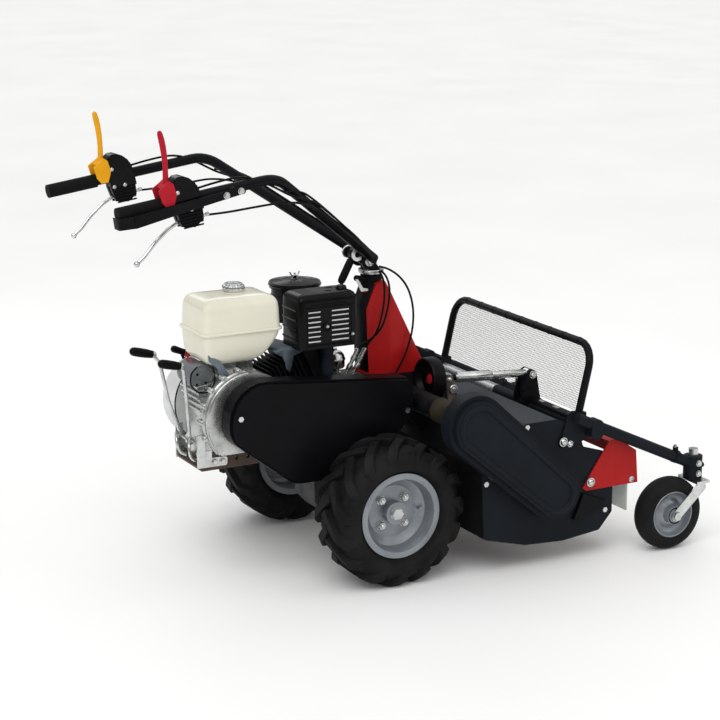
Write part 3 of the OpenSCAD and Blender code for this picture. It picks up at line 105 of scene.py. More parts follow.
class MowerColours(bpy.types.PropertyGroup):
    """Colours that an owner would pick."""

    red: bpy.props.FloatVectorProperty(name="Red enamel", description="Column and front hood",
        default=linear("#A51B1B"), size=4, min=0, max=1, subtype="COLOR")
    cream: bpy.props.FloatVectorProperty(name="Tank cream", description="Fuel tank",
        default=linear("#E6E3D0"), size=4, min=0, max=1, subtype="COLOR")
    deck: bpy.props.FloatVectorProperty(name="Deck anthracite", description="Deck sides, cross bar and arms",
        default=linear("#171B20"), size=4, min=0, max=1, subtype="COLOR")
    cover: bpy.props.FloatVectorProperty(name="Cover black", description="Belt cover, housings and knobs",
        default=linear("#08080A"), size=4, min=0, max=1, subtype="COLOR")
    yellow: bpy.props.FloatVectorProperty(name="Clutch yellow", description="Left upright lever",
        default=linear("#E6A31C"), size=4, min=0, max=1, subtype="COLOR")
    crimson: bpy.props.FloatVectorProperty(name="Drive red", description="Right lever and handwheel cap",
        default=linear("#B01E2C"), size=4, min=0, max=1, subtype="COLOR")
    floor: bpy.props.FloatVectorProperty(name="Floor", description="Studio floor",
        default=linear("#F6F6F5"), size=4, min=0, max=1, subtype="COLOR")


class MowerSizes(bpy.types.PropertyGroup):
    """Sizes of the fine pieces, in metres unless named otherwise."""

    cable: bpy.props.FloatProperty(name="Cable", description="Diameter of a control cable's jacket",
        default=0.006, min=0.004, max=0.009, unit="LENGTH")
    wire: bpy.props.FloatProperty(name="Guard wire", description="Diameter of a wire of the mesh guard",
        default=0.001, min=0.0006, max=0.003, unit="LENGTH")
    weave: bpy.props.FloatProperty(name="Guard weave", description="Spacing of the guard's wires",
        default=0.0062, min=0.004, max=0.03, unit="LENGTH")
    lens: bpy.props.FloatProperty(name="Lens", description="Focal length in mm on a 36 mm frame",
        default=100.0, min=50, max=135)
    yaw: bpy.props.FloatProperty(name="Yaw", description="Camera's turn from square on to the right side",
        default=math.radians(28.19), subtype="ANGLE")
    pitch: bpy.props.FloatProperty(name="Pitch", description="Camera's downward look",
        default=math.radians(13.94), subtype="ANGLE")
    away: bpy.props.FloatProperty(name="Distance", description="Camera's distance from its target",
        default=5.63733, min=3, max=9, unit="LENGTH")


# Materials

def add(tree, kind, inputs=None, **settings):
    """Adds a node, sets its settings, and fills or links its inputs."""
    item = tree.nodes.new("ShaderNode" + kind)
    for name, value in settings.items():
        setattr(item, name, value)
    for name, value in (inputs or {}).items():
        if isinstance(value, bpy.types.NodeSocket):
            tree.links.new(value, item.inputs[name])
        else:
            item.inputs[name].default_value = value
    return item


def per(mm):
    """Texture scale at which one pattern repeat measures that many mm."""
    return 1000 / mm


def surface(name, dark, light, patch, rough, grit, lift, stretch=(1, 1, 1), cells=False, **sockets):
    """A finish: two tones mottled over patches of that many mm, roughness between two values,
    and grit of that many mm that stands lift mm proud."""
    made = bpy.data.materials.get(name)
    if made:
        return made
    made = bpy.data.materials.new(name)
    made.use_nodes = True
    tree = made.node_tree
    shader = tree.nodes["Principled BSDF"]
    place = add(tree, "Mapping", {"Vector": add(tree, "TexCoord").outputs["Object"],
        "Scale": stretch}).outputs[0]
    mottle = add(tree, "TexNoise", {"Vector": place, "Scale": per(patch), "Detail": 5.0, "Roughness": 0.6})
    tones = add(tree, "ValToRGB", {"Fac": mottle.outputs["Fac"]})
    tones.color_ramp.elements[0].position, tones.color_ramp.elements[0].color = 0.32, dark
    tones.color_ramp.elements[1].position, tones.color_ramp.elements[1].color = 0.68, light
    if cells:
        grain = add(tree, "TexVoronoi", {"Vector": place, "Scale": per(grit)}).outputs["Distance"]
    else:
        grain = add(tree, "TexNoise", {"Vector": place, "Scale": per(grit), "Detail": 2.0}).outputs["Fac"]
    gloss = add(tree, "MapRange", {"Value": mottle.outputs["Fac"], "From Min": 0.3, "From Max": 0.7,
        "To Min": rough[0], "To Max": rough[1]})
    bump = add(tree, "Bump", {"Height": grain, "Distance": lift * MM, "Strength": 0.6})
    tree.links.new(tones.outputs["Color"], shader.inputs["Base Color"])
    tree.links.new(gloss.outputs["Result"], shader.inputs["Roughness"])
    tree.links.new(bump.outputs["Normal"], shader.inputs["Normal"])
    sockets.setdefault("Specular_IOR_Level", 0.08)
    for socket, value in sockets.items():
        shader.inputs[socket.replace("_", " ")].default_value = value
    return made


def shade(colour, by):
    """The same colour, darker or lighter."""
    return tuple(min(1.0, c * by) for c in colour[:3]) + (1.0,)


def pick(name):
    """One of the owner's colours."""
    return tuple(getattr(bpy.context.scene.mower_colours, name))


def tone(spec):
    """A tone from a hex code, or from one of the owner's colours and how much lighter it gets."""
    return linear(spec) if isinstance(spec, str) else shade(pick(spec[0]), spec[1])


def coating(name, slot, dark, light, *rest, **sockets):
    """A finish tagged with a slot name. It is made when a piece first asks for it."""
    def make():
        return surface(name, tone(dark), tone(light), *rest, **sockets)
    make.slot = slot
    return make


# Moulded natural rubber: deep matt black that greys a little where the mould left it dry
tyre_rubber = coating("natural_rubber_moulded", "tyre", "#131314", "#212122", 70,
    (0.55, 0.78), 2.5, 0.25, IOR=1.52)
# Pressed steel under silver-grey paint: soft metallic sheen with faint orange peel
rim_paint = coating("pressed_steel_silver_paint", "rim_paint", "#7C8186", "#989DA2", 90, (0.34, 0.46), 3.0,
    0.05, Metallic=0.55, Coat_Weight=0.25, Coat_Roughness=0.2)
# Sand-cast iron under thin paint: pebbled skin and uneven grey
cast_iron = coating("grey_iron_sand_cast", "casting", "#3B3C3B", "#5C5E5C", 45,
    (0.55, 0.75), 3.2, 0.5, Metallic=0.35)
# Folded steel under brown-grey primer: flat, slightly chalky
primed_steel = coating("folded_steel_primed", "frame_paint", "#4A3F39", "#62554D", 60, (0.5, 0.68), 2.0,
    0.12, Metallic=0.1)
# Die-cast aluminium: bright grey with a fine frosted skin and darker pools
cast_alloy = coating("aluminium_die_cast", "alloy", "#9C9E9D", "#D8DAD7", 55,
    (0.18, 0.36), 1.6, 0.12, Metallic=0.95)
# Engine paint baked on iron: matt black
engine_black = coating("iron_heat_paint", "engine_black", "#0C0C0E", "#17181A", 40,
    (0.5, 0.7), 2.0, 0.15, IOR=1.5)
# Pressed steel under pale silver paint: satin, with a soft metallic sheen
silver_paint = coating("pressed_steel_pale_silver", "fan_grey", "#CFD1D1", "#E4E5E5", 80, (0.36, 0.5), 2.5,
    0.06, Metallic=0.2)
# Pressed steel under blue-grey paint: satin
shroud_grey = coating("pressed_steel_grey_paint", "fan_grey", "#56606A", "#75808A", 60, (0.38, 0.52), 2.5,
    0.06, Metallic=0.25)
# Die-cast alloy under mid-grey engine paint: dull
grey_cast = coating("aluminium_mid_grey_paint", "fan_grey", "#686C6E", "#83878A", 50,
    (0.42, 0.58), 2.0, 0.1, Metallic=0.2)
# Galvanised tube: pale grey with crystal spangle
galvanised = coating("steel_galvanised", "zinc", "#9FA3A5", "#C6C9CA", 14, (0.3, 0.5), 6.0,
    0.06, cells=True, Metallic=0.9)
# Steel strap under brown primer: dull
brown_primer = coating("steel_brown_primer", "frame_paint", "#4C4037", "#665850", 30, (0.5, 0.68), 1.6, 0.1)
# Pressed steel under stoved cream enamel: deep even gloss
tank_enamel = coating("pressed_steel_cream_enamel", "tank_cream", ("cream", 0.93), ("cream", 1), 160,
    (0.16, 0.24), 14.0, 0.1, IOR=1.5, Coat_Weight=0.6, Coat_Roughness=0.06)
# Polished chrome plate: mirror with faint haze
chrome = coating("brass_chrome_plated", "bright", "#C4C6C6", "#E4E6E5", 40,
    (0.08, 0.18), 4.0, 0.03, Metallic=1.0)
# Steel darkened by heat: brown and blue-grey clouds
hot_steel = coating("steel_heat_darkened", "muffler_steel", "#2B2826", "#4A4541", 35,
    (0.4, 0.6), 1.5, 0.1, Metallic=0.7)
# Steel tube blued by heat: dark blue-black, satin
blued_steel = coating("steel_tube_heat_blued", "muffler_steel", "#12171C", "#222A31", 50, (0.36, 0.5), 1.5,
    0.08, Metallic=0.3)
# Pressed steel under gloss black stove paint
stove_black = coating("pressed_steel_gloss_black", "black_paint", "#060607", "#0C0D0E", 60, (0.14, 0.24),
    3.0, 0.04, IOR=1.5, Specular_IOR_Level=0.11, Coat_Weight=0.03, Coat_Roughness=0.08)
# Moulded polypropylene: black, half gloss, with a fine moulded grain
moulded_black = coating("polypropylene_moulded", "black_plastic", ("cover", 1), ("cover", 1.9), 120,
    (0.3, 0.42), 1.8, 0.08, cells=True, IOR=1.49)
# Powder-coated steel: even black with orange peel
powder_black = coating("steel_powder_coat_black", "black_paint", "#0A0B0C", "#141517", 80, (0.28, 0.4), 2.2,
    0.07, IOR=1.52)
# Soft rubber: matt black with a fine knurl
soft_rubber = coating("soft_rubber_moulded", "rubber", "#0C0C0D", "#161617", 40, (0.6, 0.78), 3.2, 0.5,
    cells=True, IOR=1.52)
# Sprayed red enamel on sheet steel: clean gloss over a faint peel
red_enamel = coating("steel_red_enamel", "red_paint", ("red", 0.86), ("red", 1.08), 120, (0.26, 0.36), 3.0,
    0.05, IOR=1.5, Coat_Weight=0.08, Coat_Roughness=0.15)
# Zinc-plated steel: cool bright grey, cloudy, faintly drawn along its length
zinc_plate = coating("steel_zinc_plated", "zinc", "#B2B5B4", "#DCDFDC", 34,
    (0.2, 0.34), 1.2, 0.05, Metallic=1.0)
# Steel plate under textured grey powder: sandy to the eye. The grit is drawn at twice its size to show
sanded_grey = coating("steel_textured_powder_grey", "hood_grey", "#2F3236", "#45484D", 6, (0.5, 0.66), 2.4,
    0.35, cells=True, IOR=1.5)
# Folded steel under anthracite powder: blue-black, half matt
anthracite = coating("folded_steel_anthracite_powder", "anthracite", ("deck", 0.8), ("deck", 1.12), 110,
    (0.42, 0.56), 2.0, 0.08, IOR=1.5)
# Cast iron under olive-brown paint: sand-cast skin, dull
olive_cast = coating("iron_olive_paint", "gear_brown", "#231F17", "#38332A", 40, (0.5, 0.7), 3.0, 0.45)
# Turned steel: bright rings from the tool. The rings are drawn wider than real so that they show
turned_steel = coating("steel_turned", "steel", "#7F8080", "#A9AAA8", 12, (0.25, 0.4), 1.5, 0.08,
    stretch=(1, 0.2, 1), Metallic=1.0)
# Forged steel worn by the ground: dull with brown bloom
worn_steel = coating("steel_forged_worn", "wear_steel", "#4A3F35", "#7B756D", 22,
    (0.45, 0.7), 2.0, 0.25, Metallic=0.8)
# Moulded nylon levers: saturated, satin
yellow_nylon = coating("nylon_moulded_yellow", "yellow_plastic", ("yellow", 0.88), ("yellow", 1), 40,
    (0.34, 0.46), 1.5, 0.07, IOR=1.53)
red_nylon = coating("nylon_moulded_red", "red_plastic", ("crimson", 0.85), ("crimson", 1), 40, (0.34, 0.46),
    1.5, 0.07, IOR=1.53)
# Extruded PVC: black cable jacket, half gloss, slightly ribbed by the winding under it
pvc_jacket = coating("pvc_extruded", "rubber", "#080809", "#121213", 30, (0.32, 0.45), 2.5, 0.1, IOR=1.53)
# Clear-white PVC sheet: milky, lets light through
milky_sheet = coating("pvc_sheet_milky", "curtain_sheet", "#D2D8D3", "#EEF1ED", 50, (0.3, 0.45), 8.0, 0.3,
    IOR=1.53, Transmission_Weight=0.35)
# Polished aluminium: bright hand levers, lightly scratched along their length
bright_alloy = coating("aluminium_polished", "bright", "#B4B7B7", "#E2E4E3", 20, (0.16, 0.3), 1.0, 0.03,
    stretch=(0.3, 1, 1), Metallic=1.0)

# Finish, edge rounding in mm, and the CAD nodes that have them
NODE_FINISH = (
    (cast_iron, 2.5, "gearbox_housing"),
    (primed_steel, 0.8, "engine_frame"),
    (cast_alloy, 2.5, "crankcase"),
    (engine_black, 0.6, "engine_cylinder"),
    (silver_paint, 2, "recoil_cover"),
    (tank_enamel, 0, "fuel_tank"),
    (hot_steel, 2, "muffler"),
    (stove_black, 0.6, "muffler_cover"),
    (stove_black, 2, "air_cleaner"),
    (moulded_black, 2.5, "main_belt_cover"),
    (soft_rubber, 0, "drive_belt deck_belt"),
    (red_enamel, 1.2, "column"),
    (pvc_jacket, 0, "control_cables bar_cables"),
    (zinc_plate, 0.8, "lever_bracket"),
    (sanded_grey, 0.6, "deck_hood"),
    (anthracite, 0.6, "deck_sides gauge_cross_bar"),
    (anthracite, 4, "deck_belt_cover"),
    (engine_black, 2.5, "deck_gearbox"),
    (zinc_plate, 0.6, "bolts link_clevis link_tube caster_fork_left caster_fork_right"),
    (tyre_rubber, 2, "tyre_left tyre_right"),
    (rim_paint, 1, "rim_left rim_right"),
    (turned_steel, 0.5, "engine_pulley gearbox_pulley deck_drive_pulley"),
    (worn_steel, 0.6, "rotor"),
    (worn_steel, 0.8, "flail_row_a flail_row_b"),
    (red_enamel, 0.8, "front_hood"),
    (milky_sheet, 0.5, "front_curtain"),
    (anthracite, 0.8, "gauge_arm_left gauge_arm_right"),
    (powder_black, 0, "guard_frame guard_mesh handlebar_left handlebar_right"),
    (moulded_black, 1, "handwheel"),
    (tyre_rubber, 0, "caster_wheel_left caster_wheel_right"),
    (powder_black, 0.8, "handlebar_head stop_lever"),
    (moulded_black, 0, "clamp_lever recoil_grip"),
    (soft_rubber, 1.2, "grips"),
    (moulded_black, 3, "control_housings"),
    (yellow_nylon, 1, "clutch_lever"),
    (red_nylon, 1, "drive_lever"),
    (bright_alloy, 0, "brake_lever_left brake_lever_right"),
    (zinc_plate, 0, "gear_lever_near gear_lever_far"),
    (chrome, 0.6, "fuel_cap"),
)


# Mesh tools, in mm from the ground under the axle

def basis(along):
    """Two directions square to one another and to along."""
    w = Vector(along).normalized()
    u = w.orthogonal().normalized() if abs(w.y) < 0.99 else Vector(AHEAD)
    return u, w.cross(u), w


def lathe(bm, profile, origin, axis, sides=48, lobes=0, depth=0.0):
    """A turned form: (radius, height) pairs along axis from origin. Lobes scallop its rim by depth."""
    u, v, w = basis(axis)
    origin = Vector(origin)
    rings = []
    for r, h in profile:
        if r < 1e-6:
            rings.append([bm.verts.new(origin + w * h)])
            continue
        ring = []
        for k in range(sides):
            a = math.tau * k / sides
            cut = depth * (0.5 - 0.5 * math.cos(lobes * a)) if lobes and r > 3 * depth else 0
            ring.append(bm.verts.new(origin + w * h + (r - cut) * (math.cos(a) * u + math.sin(a) * v)))
        rings.append(ring)
    for a, b in zip(rings, rings[1:]):
        for k in range(sides):
            n = (k + 1) % sides
            corners = [a[k % len(a)], a[n % len(a)], b[n % len(b)], b[k % len(b)]]
            bm.faces.new(list(dict.fromkeys(corners)))


def rod(bm, profile, a, b, sides):
    """A turned form from a to b: each height is a share of the way, with mm added to it."""
    along = Vector(b) - Vector(a)
    lathe(bm, [(radius, along.length * share + more) for radius, share, more in profile], a, along, sides)


def curve(points, each=6):
    """A smooth route through points."""
    p = [Vector(q) for q in points]
    p = [2 * p[0] - p[1]] + p + [2 * p[-1] - p[-2]]
    out = []
    for i in range(1, len(p) - 2):
        for k in range(each):
            t = k / each
            out.append(0.5 * (2 * p[i] + (p[i + 1] - p[i - 1]) * t
                + (2 * p[i - 1] - 5 * p[i] + 4 * p[i + 1] - p[i + 2]) * t * t
                + (3 * p[i] - p[i - 1] - 3 * p[i + 1] + p[i + 2]) * t ** 3))
    return out + [p[-2]]


def sweep(bm, route, size, sides=12, closed=False, up=FAR):
    """A round or oval section along a route. size is a radius, or an (across, up) pair for each point."""
    p = [Vector(q) for q in route]
    last = len(p) - 1
    u = Vector(up)
    rings = []
    for i, q in enumerate(p):
        t = (p[(i + 1) % len(p)] - p[i - 1]) if closed else p[min(i + 1, last)] - p[max(i - 1, 0)]
        t.normalize()
        u = (u - t * u.dot(t)).normalized()
        v = t.cross(u)
        a, b = (size, size) if isinstance(size, (int, float)) else size[i]
        turns = [math.tau * k / sides for k in range(sides)]
        rings.append([bm.verts.new(q + a * math.cos(w) * v + b * math.sin(w) * u) for w in turns])
    skin(bm, rings + rings[:1] if closed else rings)
    if not closed:
        bm.faces.new(rings[0][::-1])
        bm.faces.new(rings[-1])


def plate(bm, outline, y0, y1):
    """A flat plate: an outline of (x, z) between two Y places."""
    near = [bm.verts.new((x, y0, z)) for x, z in outline]
    far = [bm.verts.new((x, y1, z)) for x, z in outline]
    bm.faces.new(near)
    bm.faces.new(far[::-1])
    for k in range(len(outline)):
        n = (k + 1) % len(outline)
        bm.faces.new([near[n], near[k], far[k], far[n]])


def block(bm, lo, hi):
    """A plain block between two corners."""
    for v in bmesh.ops.create_cube(bm, size=1.0)["verts"]:
        v.co = Vector(lo[i] + (v.co[i] + 0.5) * (hi[i] - lo[i]) for i in range(3))


def hex_head(bm, at, axis, across, high, washer=1.7):
    """A bolt head or nut on a washer, chamfered, standing on a face."""
    r = across / math.sqrt(3)
    foot, top = across * washer / 2, 1.4 + high
    lathe(bm, [(0, 0), (foot, 0), (foot, 1.4), (r * 0.5, 1.5), (0, 1.5)], at, axis, 28)
    lathe(bm, [(0, 1.4), (r, 1.4), (r, 1.4 + high * 0.8), (r * 0.86, top), (0, top)], at, axis, 6)


def loop(c1, r1, c2, r2, count=24):
    """Outline round two circles, as (x, z) pairs."""
    dx, dz = c2[0] - c1[0], c2[1] - c1[1]
    a, b = math.atan2(dz, dx), math.acos((r1 - r2) / math.hypot(dx, dz))
    first = [a + b + (math.tau - 2 * b) * i / count for i in range(count + 1)]
    second = [a - b + 2 * b * i / count for i in range(count + 1)]
    return [(c1[0] + r1 * math.cos(t), c1[1] + r1 * math.sin(t)) for t in first] + \
        [(c2[0] + r2 * math.cos(t), c2[1] + r2 * math.sin(t)) for t in second]


def rounded_ring(bm, x0, x1, y0, y1, r, z, steps):
    """A level ring of vertices round a rectangle with rounded corners."""
    ring = []
    for cx, cy, start in [(x1 - r, y1 - r, 0), (x0 + r, y1 - r, 90), (x0 + r, y0 + r, 180),
            (x1 - r, y0 + r, 270)]:
        for k in range(steps + 1):
            a = math.radians(start + 90 * k / steps)
            ring.append(bm.verts.new((cx + r * math.cos(a), cy + r * math.sin(a), z)))
    return ring


def skin(bm, rings):
    """Faces between rings that follow one another."""
    for a, b in zip(rings, rings[1:]):
        for k in range(len(a)):
            n = (k + 1) % len(a)
            bm.faces.new([a[k], a[n], b[n], b[k]])


def dome_head(bm, at, axis, r):
    """A domed bolt head on its washer."""
    lathe(bm, [(0, 0), (r, 0), (r, 1.6), (r * 0.8, 1.8), (r * 0.78, r * 0.3), (r * 0.6, r * 0.52),
        (r * 0.3, r * 0.64), (0, r * 0.66)], at, axis, 28)


def solid(name, bm):
    """Turns a mesh in mm into an object in the row frame."""
    bm.transform(Matrix.Translation((AXLE, 0, 0)) @ Matrix.Scale(MM, 4))
    mesh = bpy.data.meshes.new(name)
    bm.to_mesh(mesh)
    bm.free()
    made = bpy.data.objects.new(name, mesh)
    bpy.context.scene.collection.objects.link(made)
    return made


def piece(name, bm, finish, body="machine", edge=0.0, crease=35.0, stands_for=(), turn=None):
    """Makes a mesh in mm, turned by a matrix if one is given, a named piece that moves with a body."""
    if turn:
        bm.transform(turn)
    bmesh.ops.recalc_face_normals(bm, faces=bm.faces)
    for f in bm.faces:
        f.smooth = True
    for e in bm.edges:
        e.smooth = e.calc_face_angle(0.0) < math.radians(crease)
    made = solid(name, bm)
    made.data.materials.append(finish())
    if edge:
        soften(made, edge)
    if body:
        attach(made, body)
    if stands_for:
        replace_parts(made, *stands_for)
    return made


def lone(name, finish, tool, *drawn, **settings):
    """A piece made by one mesh tool."""
    bm = bmesh.new()
    tool(bm, *drawn)
    return piece(name, bm, finish, **settings)


def soften(made, edge):
    """Rounds a piece's sharp edges by that many mm."""
    bevel = made.modifiers.new("edge", "BEVEL")
    bevel.width = edge * MM
    bevel.segments = 2
    bevel.limit_method = "ANGLE"
    bevel.angle_limit = math.radians(38)
    bevel.harden_normals = True
    bevel.use_clamp_overlap = True


def cut(made, bm):
    """Cuts a mesh in mm out of a piece."""
    bmesh.ops.recalc_face_normals(bm, faces=bm.faces)
    cutter = solid("cutter", bm)
    change = made.modifiers.new("cut", "BOOLEAN")
    change.operation = "DIFFERENCE"
    change.solver = "EXACT"
    change.object = cutter
    bpy.context.view_layer.update()
    result = bpy.data.meshes.new_from_object(made.evaluated_get(bpy.context.evaluated_depsgraph_get()))
    made.modifiers.remove(change)
    made.data = result
    bpy.data.objects.remove(cutter)


# Places on the handlebar behind its bend, along the height link, on the guard and round the crankshaft

def on_bar(side):
    """Matrix from along, across and above a handlebar tube to mm places."""
    return Matrix.Translation((-285, side * 225, 1112)) @ Matrix.Rotation(math.radians(-8), 4, "Y")


def on_link():
    """Matrix from along the height link, from its rear pin, to mm places."""
    tilt = math.atan2(LINK_PIN[2] - LINK_FRONT[1], LINK_FRONT[0] - LINK_PIN[0])
    return Matrix.Translation(LINK_PIN) @ Matrix.Rotation(tilt, 4, "Y")


def on_guard(y, height, out=0):
    """A place on the leaning guard, that high above the cross bar and that far out in front."""
    rise, step = math.cos(GUARD_LEAN), math.sin(GUARD_LEAN)
    return (CROSS_BAR[0] + height * step + out * rise, y, CROSS_BAR[1] + height * rise - out * step)


def rim_point(r, y, turn):
    """A place round the crankshaft, turned by that many degrees."""
    a = math.radians(turn)
    return (CRANK[0] + r * math.cos(a), y, CRANK[1] + r * math.sin(a))


class MowerOperator(bpy.types.Operator):
    """Shared settings of the mower's operators."""

    bl_options = {"REGISTER", "UNDO"}


class MOWER_OT_stage(MowerOperator):
    """Floor, soft studio light and the camera"""

    bl_idname = "mower.stage"
    bl_label = "Stage"

    def execute(self, context):
        scene = context.scene
        sizes = scene.mower_sizes
        scene.view_settings.view_transform = "Standard"
        camera = bpy.data.objects.new("camera", bpy.data.cameras.new("camera"))
        camera.data.lens, camera.data.sensor_width, camera.data.clip_end = sizes.lens, 36.0, 200.0
        look = Vector((math.sin(sizes.yaw) * math.cos(sizes.pitch),
            math.cos(sizes.yaw) * math.cos(sizes.pitch), -math.sin(sizes.pitch)))
        camera.location = row(*CAMERA_AIM) - sizes.away * look
        camera.rotation_euler = facing(look)
        scene.collection.objects.link(camera)
        scene.camera = camera

        bm = bmesh.new()
        bmesh.ops.create_grid(bm, x_segments=1, y_segments=1, size=60.0)
        mesh = bpy.data.meshes.new("floor")
        bm.to_mesh(mesh)
        bm.free()
        floor = bpy.data.objects.new("floor", mesh)
        # Sealed studio floor: pale, smooth, with a soft sheen
        mesh.materials.append(surface("resin_floor_sealed", shade(pick("floor"), 0.985), pick("floor"),
            900, (0.45, 0.6), 40, 0.05, IOR=1.4, Specular_IOR_Level=0.3))
        scene.collection.objects.link(floor)

        world = bpy.data.worlds.new("studio")
        scene.world = world
        world.use_nodes = True
        tree = world.node_tree
        sky = tree.nodes["Background"]
        rays = add(tree, "LightPath")
        height = add(tree, "SeparateXYZ", {"Vector": add(tree, "TexCoord").outputs["Generated"]}).outputs["Z"]
        fill = add(tree, "MapRange", {"Value": height, "From Min": -0.1, "From Max": 0.9, "To Min": 0.62,
            "To Max": 0.88})
        # What polished metal mirrors: pale above, dark walls lower down
        mirror = add(tree, "MapRange", {"Value": height, "From Min": 0.0, "From Max": 0.7, "To Min": 0.08,
            "To Max": 1.0})
        lit = add(tree, "Mix", {"Factor": rays.outputs["Is Glossy Ray"], "A": fill.outputs["Result"],
            "B": mirror.outputs["Result"]})
        seen = add(tree, "Mix", {"Factor": rays.outputs["Is Camera Ray"],
            "A": lit.outputs["Result"], "B": 1.0})
        tree.links.new(seen.outputs["Result"], sky.inputs["Strength"])
        sky.inputs["Color"].default_value = (1, 1, 1, 1)

        sun = bpy.data.objects.new("key", bpy.data.lights.new("key", "SUN"))
        sun.data.energy, sun.data.angle = 0.95, math.radians(40)
        sun.rotation_euler = facing(Vector((0.42, 0.5, -0.95)))
        scene.collection.objects.link(sun)
        for name, place, aim, size, power in [
                ("rear_box", (-2.6, -2.4, 2.9), (0.0, 0, 0.6), (1.8, 1.2), 12),
                ("front_box", (2.7, -2.2, 2.4), (0.3, 0, 0.4), (1.4, 1.4), 8),
                ("far_box", (0.4, 3.0, 2.6), (0.0, 0, 0.6), (2.4, 1.0), 10)]:
            lamp = bpy.data.objects.new(name, bpy.data.lights.new(name, "AREA"))
            lamp.data.shape, lamp.data.size, lamp.data.size_y = "RECTANGLE", size[0], size[1]
            lamp.data.energy = power
            lamp.location = place
            lamp.rotation_euler = facing(Vector(aim) - Vector(place))
            scene.collection.objects.link(lamp)
        return {"FINISHED"}


class MOWER_OT_finishes(MowerOperator):
    """Finishes and rounded edges of the CAD nodes"""

    bl_idname = "mower.finishes"
    bl_label = "Finishes"

    def execute(self, context):
        bare = set(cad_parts)
        for finish, edge, names in NODE_FINISH:
            for name in names.split():
                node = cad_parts[name]
                for holder in node.material_slots:
                    holder.material = finish()
                if edge:
                    soften(node, edge)
                bare.remove(name)
        if bare:
            raise RuntimeError(f"nodes with no finish: {sorted(bare)}")
        return {"FINISHED"}


# Routes of the control cables, as in the part's source
CONTROL_ROUTES = [
    [(104, -68, 816), (132, -69, 806), (164, -70, 784), (190, -70, 752), (206, -70, 712), (212, -70, 668),
     (208, -70, 622), (196, -70, 580), (180, -70, 545), (160, -70, 512), (136, -68, 486), (110, -65.5, 470)],
    [(106, -73, 806), (122, -76, 786), (131, -77, 756), (130, -77, 720), (122, -76, 680), (108, -74, 644),
     (88, -66, 618), (66, -57, 602), (47, -50, 588)],
    [(98, -78, 806), (109, -82, 780), (112, -84, 740), (108, -84, 700), (100, -80, 660), (91, -70, 626),
     (80, -58, 604), (71, -50, 588)]]


class MOWER_OT_control_cables(MowerOperator):
    """Cables from the handlebar head to the gearbox, and their adjusters"""

    bl_idname = "mower.control_cables"
    bl_label = "Control cables"

    def execute(self, context):
        sizes = context.scene.mower_sizes
        made = []
        for i, points in enumerate(CONTROL_ROUTES):
            route = curve(points, 5)
            bm = bmesh.new()
            sweep(bm, route, sizes.cable / MM / 2, 10, up=(1, 1, 0))
            cable = piece(f"control_cable_{i + 1}", bm, pvc_jacket, None)
            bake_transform(cable)
            made.append(cable)
        bm = bmesh.new()
        for a, b in [((1.6, -50, 503), (46, -50, 586)), ((25.6, -50, 503), (70, -50, 586))]:
            rod(bm, [(0, 0, 0), (4, 0, 0), (4, 0.3, 0), (7.4, 0.3, 0), (8, 0.33, 0), (8, 0.47, 0),
                (7.4, 0.5, 0), (5.6, 0.5, 0), (5.6, 0.62, 0), (7.4, 0.63, 0), (7.4, 0.75, 0), (6.2, 0.76, 0),
                (6.2, 0.97, 0), (3.4, 1, 0), (0, 1, 0)], a, b, 20)
        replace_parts(piece("cable_adjusters", bm, zinc_plate), "control_cables")
        for cable in made:
            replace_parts(cable, "control_cables")
        return {"FINISHED"}


# Height, inset and corner radius of the tank at each step from its bottom to its top
TANK_RINGS = [
    (598.4, 40, 12), (600, 30, 14), (606, 20, 16), (616, 13, 17), (632, 9, 18), (648, 7.5, 19),
    (664, 6.5, 19), (680.5, 6, 20), (681.5, 1, 23), (683, 0, 24), (687, 0, 24), (688.4, 1, 23),
    (689.4, 5.5, 20), (715, 6.5, 20), (742, 8, 19), (755, 10, 18), (763, 13.5, 17), (769, 18, 16),
    (773.6, 25, 14), (776.6, 36, 12), (777.6, 60, 8)]


class MOWER_OT_fuel_tank(MowerOperator):
    """Pressed fuel tank with its seam, and its ribbed cap"""

    bl_idname = "mower.fuel_tank"
    bl_label = "Fuel tank"

    def execute(self, context):
        bm = bmesh.new()
        rings = []
        for z, inset, r in TANK_RINGS:
            # The lower shell is cut back over the cylinder
            back = 58 * max(0.0, (686 - z) / 88) ** 1.5
            rings.append(rounded_ring(bm, -448 + inset, -210 - inset - back, -115 + inset,
                65 - inset, r, z, 8))
        skin(bm, rings)
        bm.faces.new(rings[0][::-1])
        bm.faces.new(rings[-1])
        piece("fuel_tank_shell", bm, tank_enamel, crease=50, stands_for=["fuel_tank"])

        bm = bmesh.new()
        lathe(bm, [(0, 0.3), (29, 0.3), (30.6, 2), (31, 4), (31, 14), (29.5, 16.5), (26, 17.5), (24.6, 18),
            (24.8, 20.5), (23, 22), (15, 22.2), (13, 20.6), (0, 20.4)], FUEL_CAP, UP, 96, lobes=16, depth=1.8)
        piece("fuel_cap_ribbed", bm, chrome, "fuel_cap", stands_for=["fuel_cap"])
        lone("filler_neck", tank_enamel, lathe, [(26, -6), (34, -5), (34.5, -1.2), (33, 0.1), (26, 0.1)],
            FUEL_CAP, UP, 48)
        return {"FINISHED"}


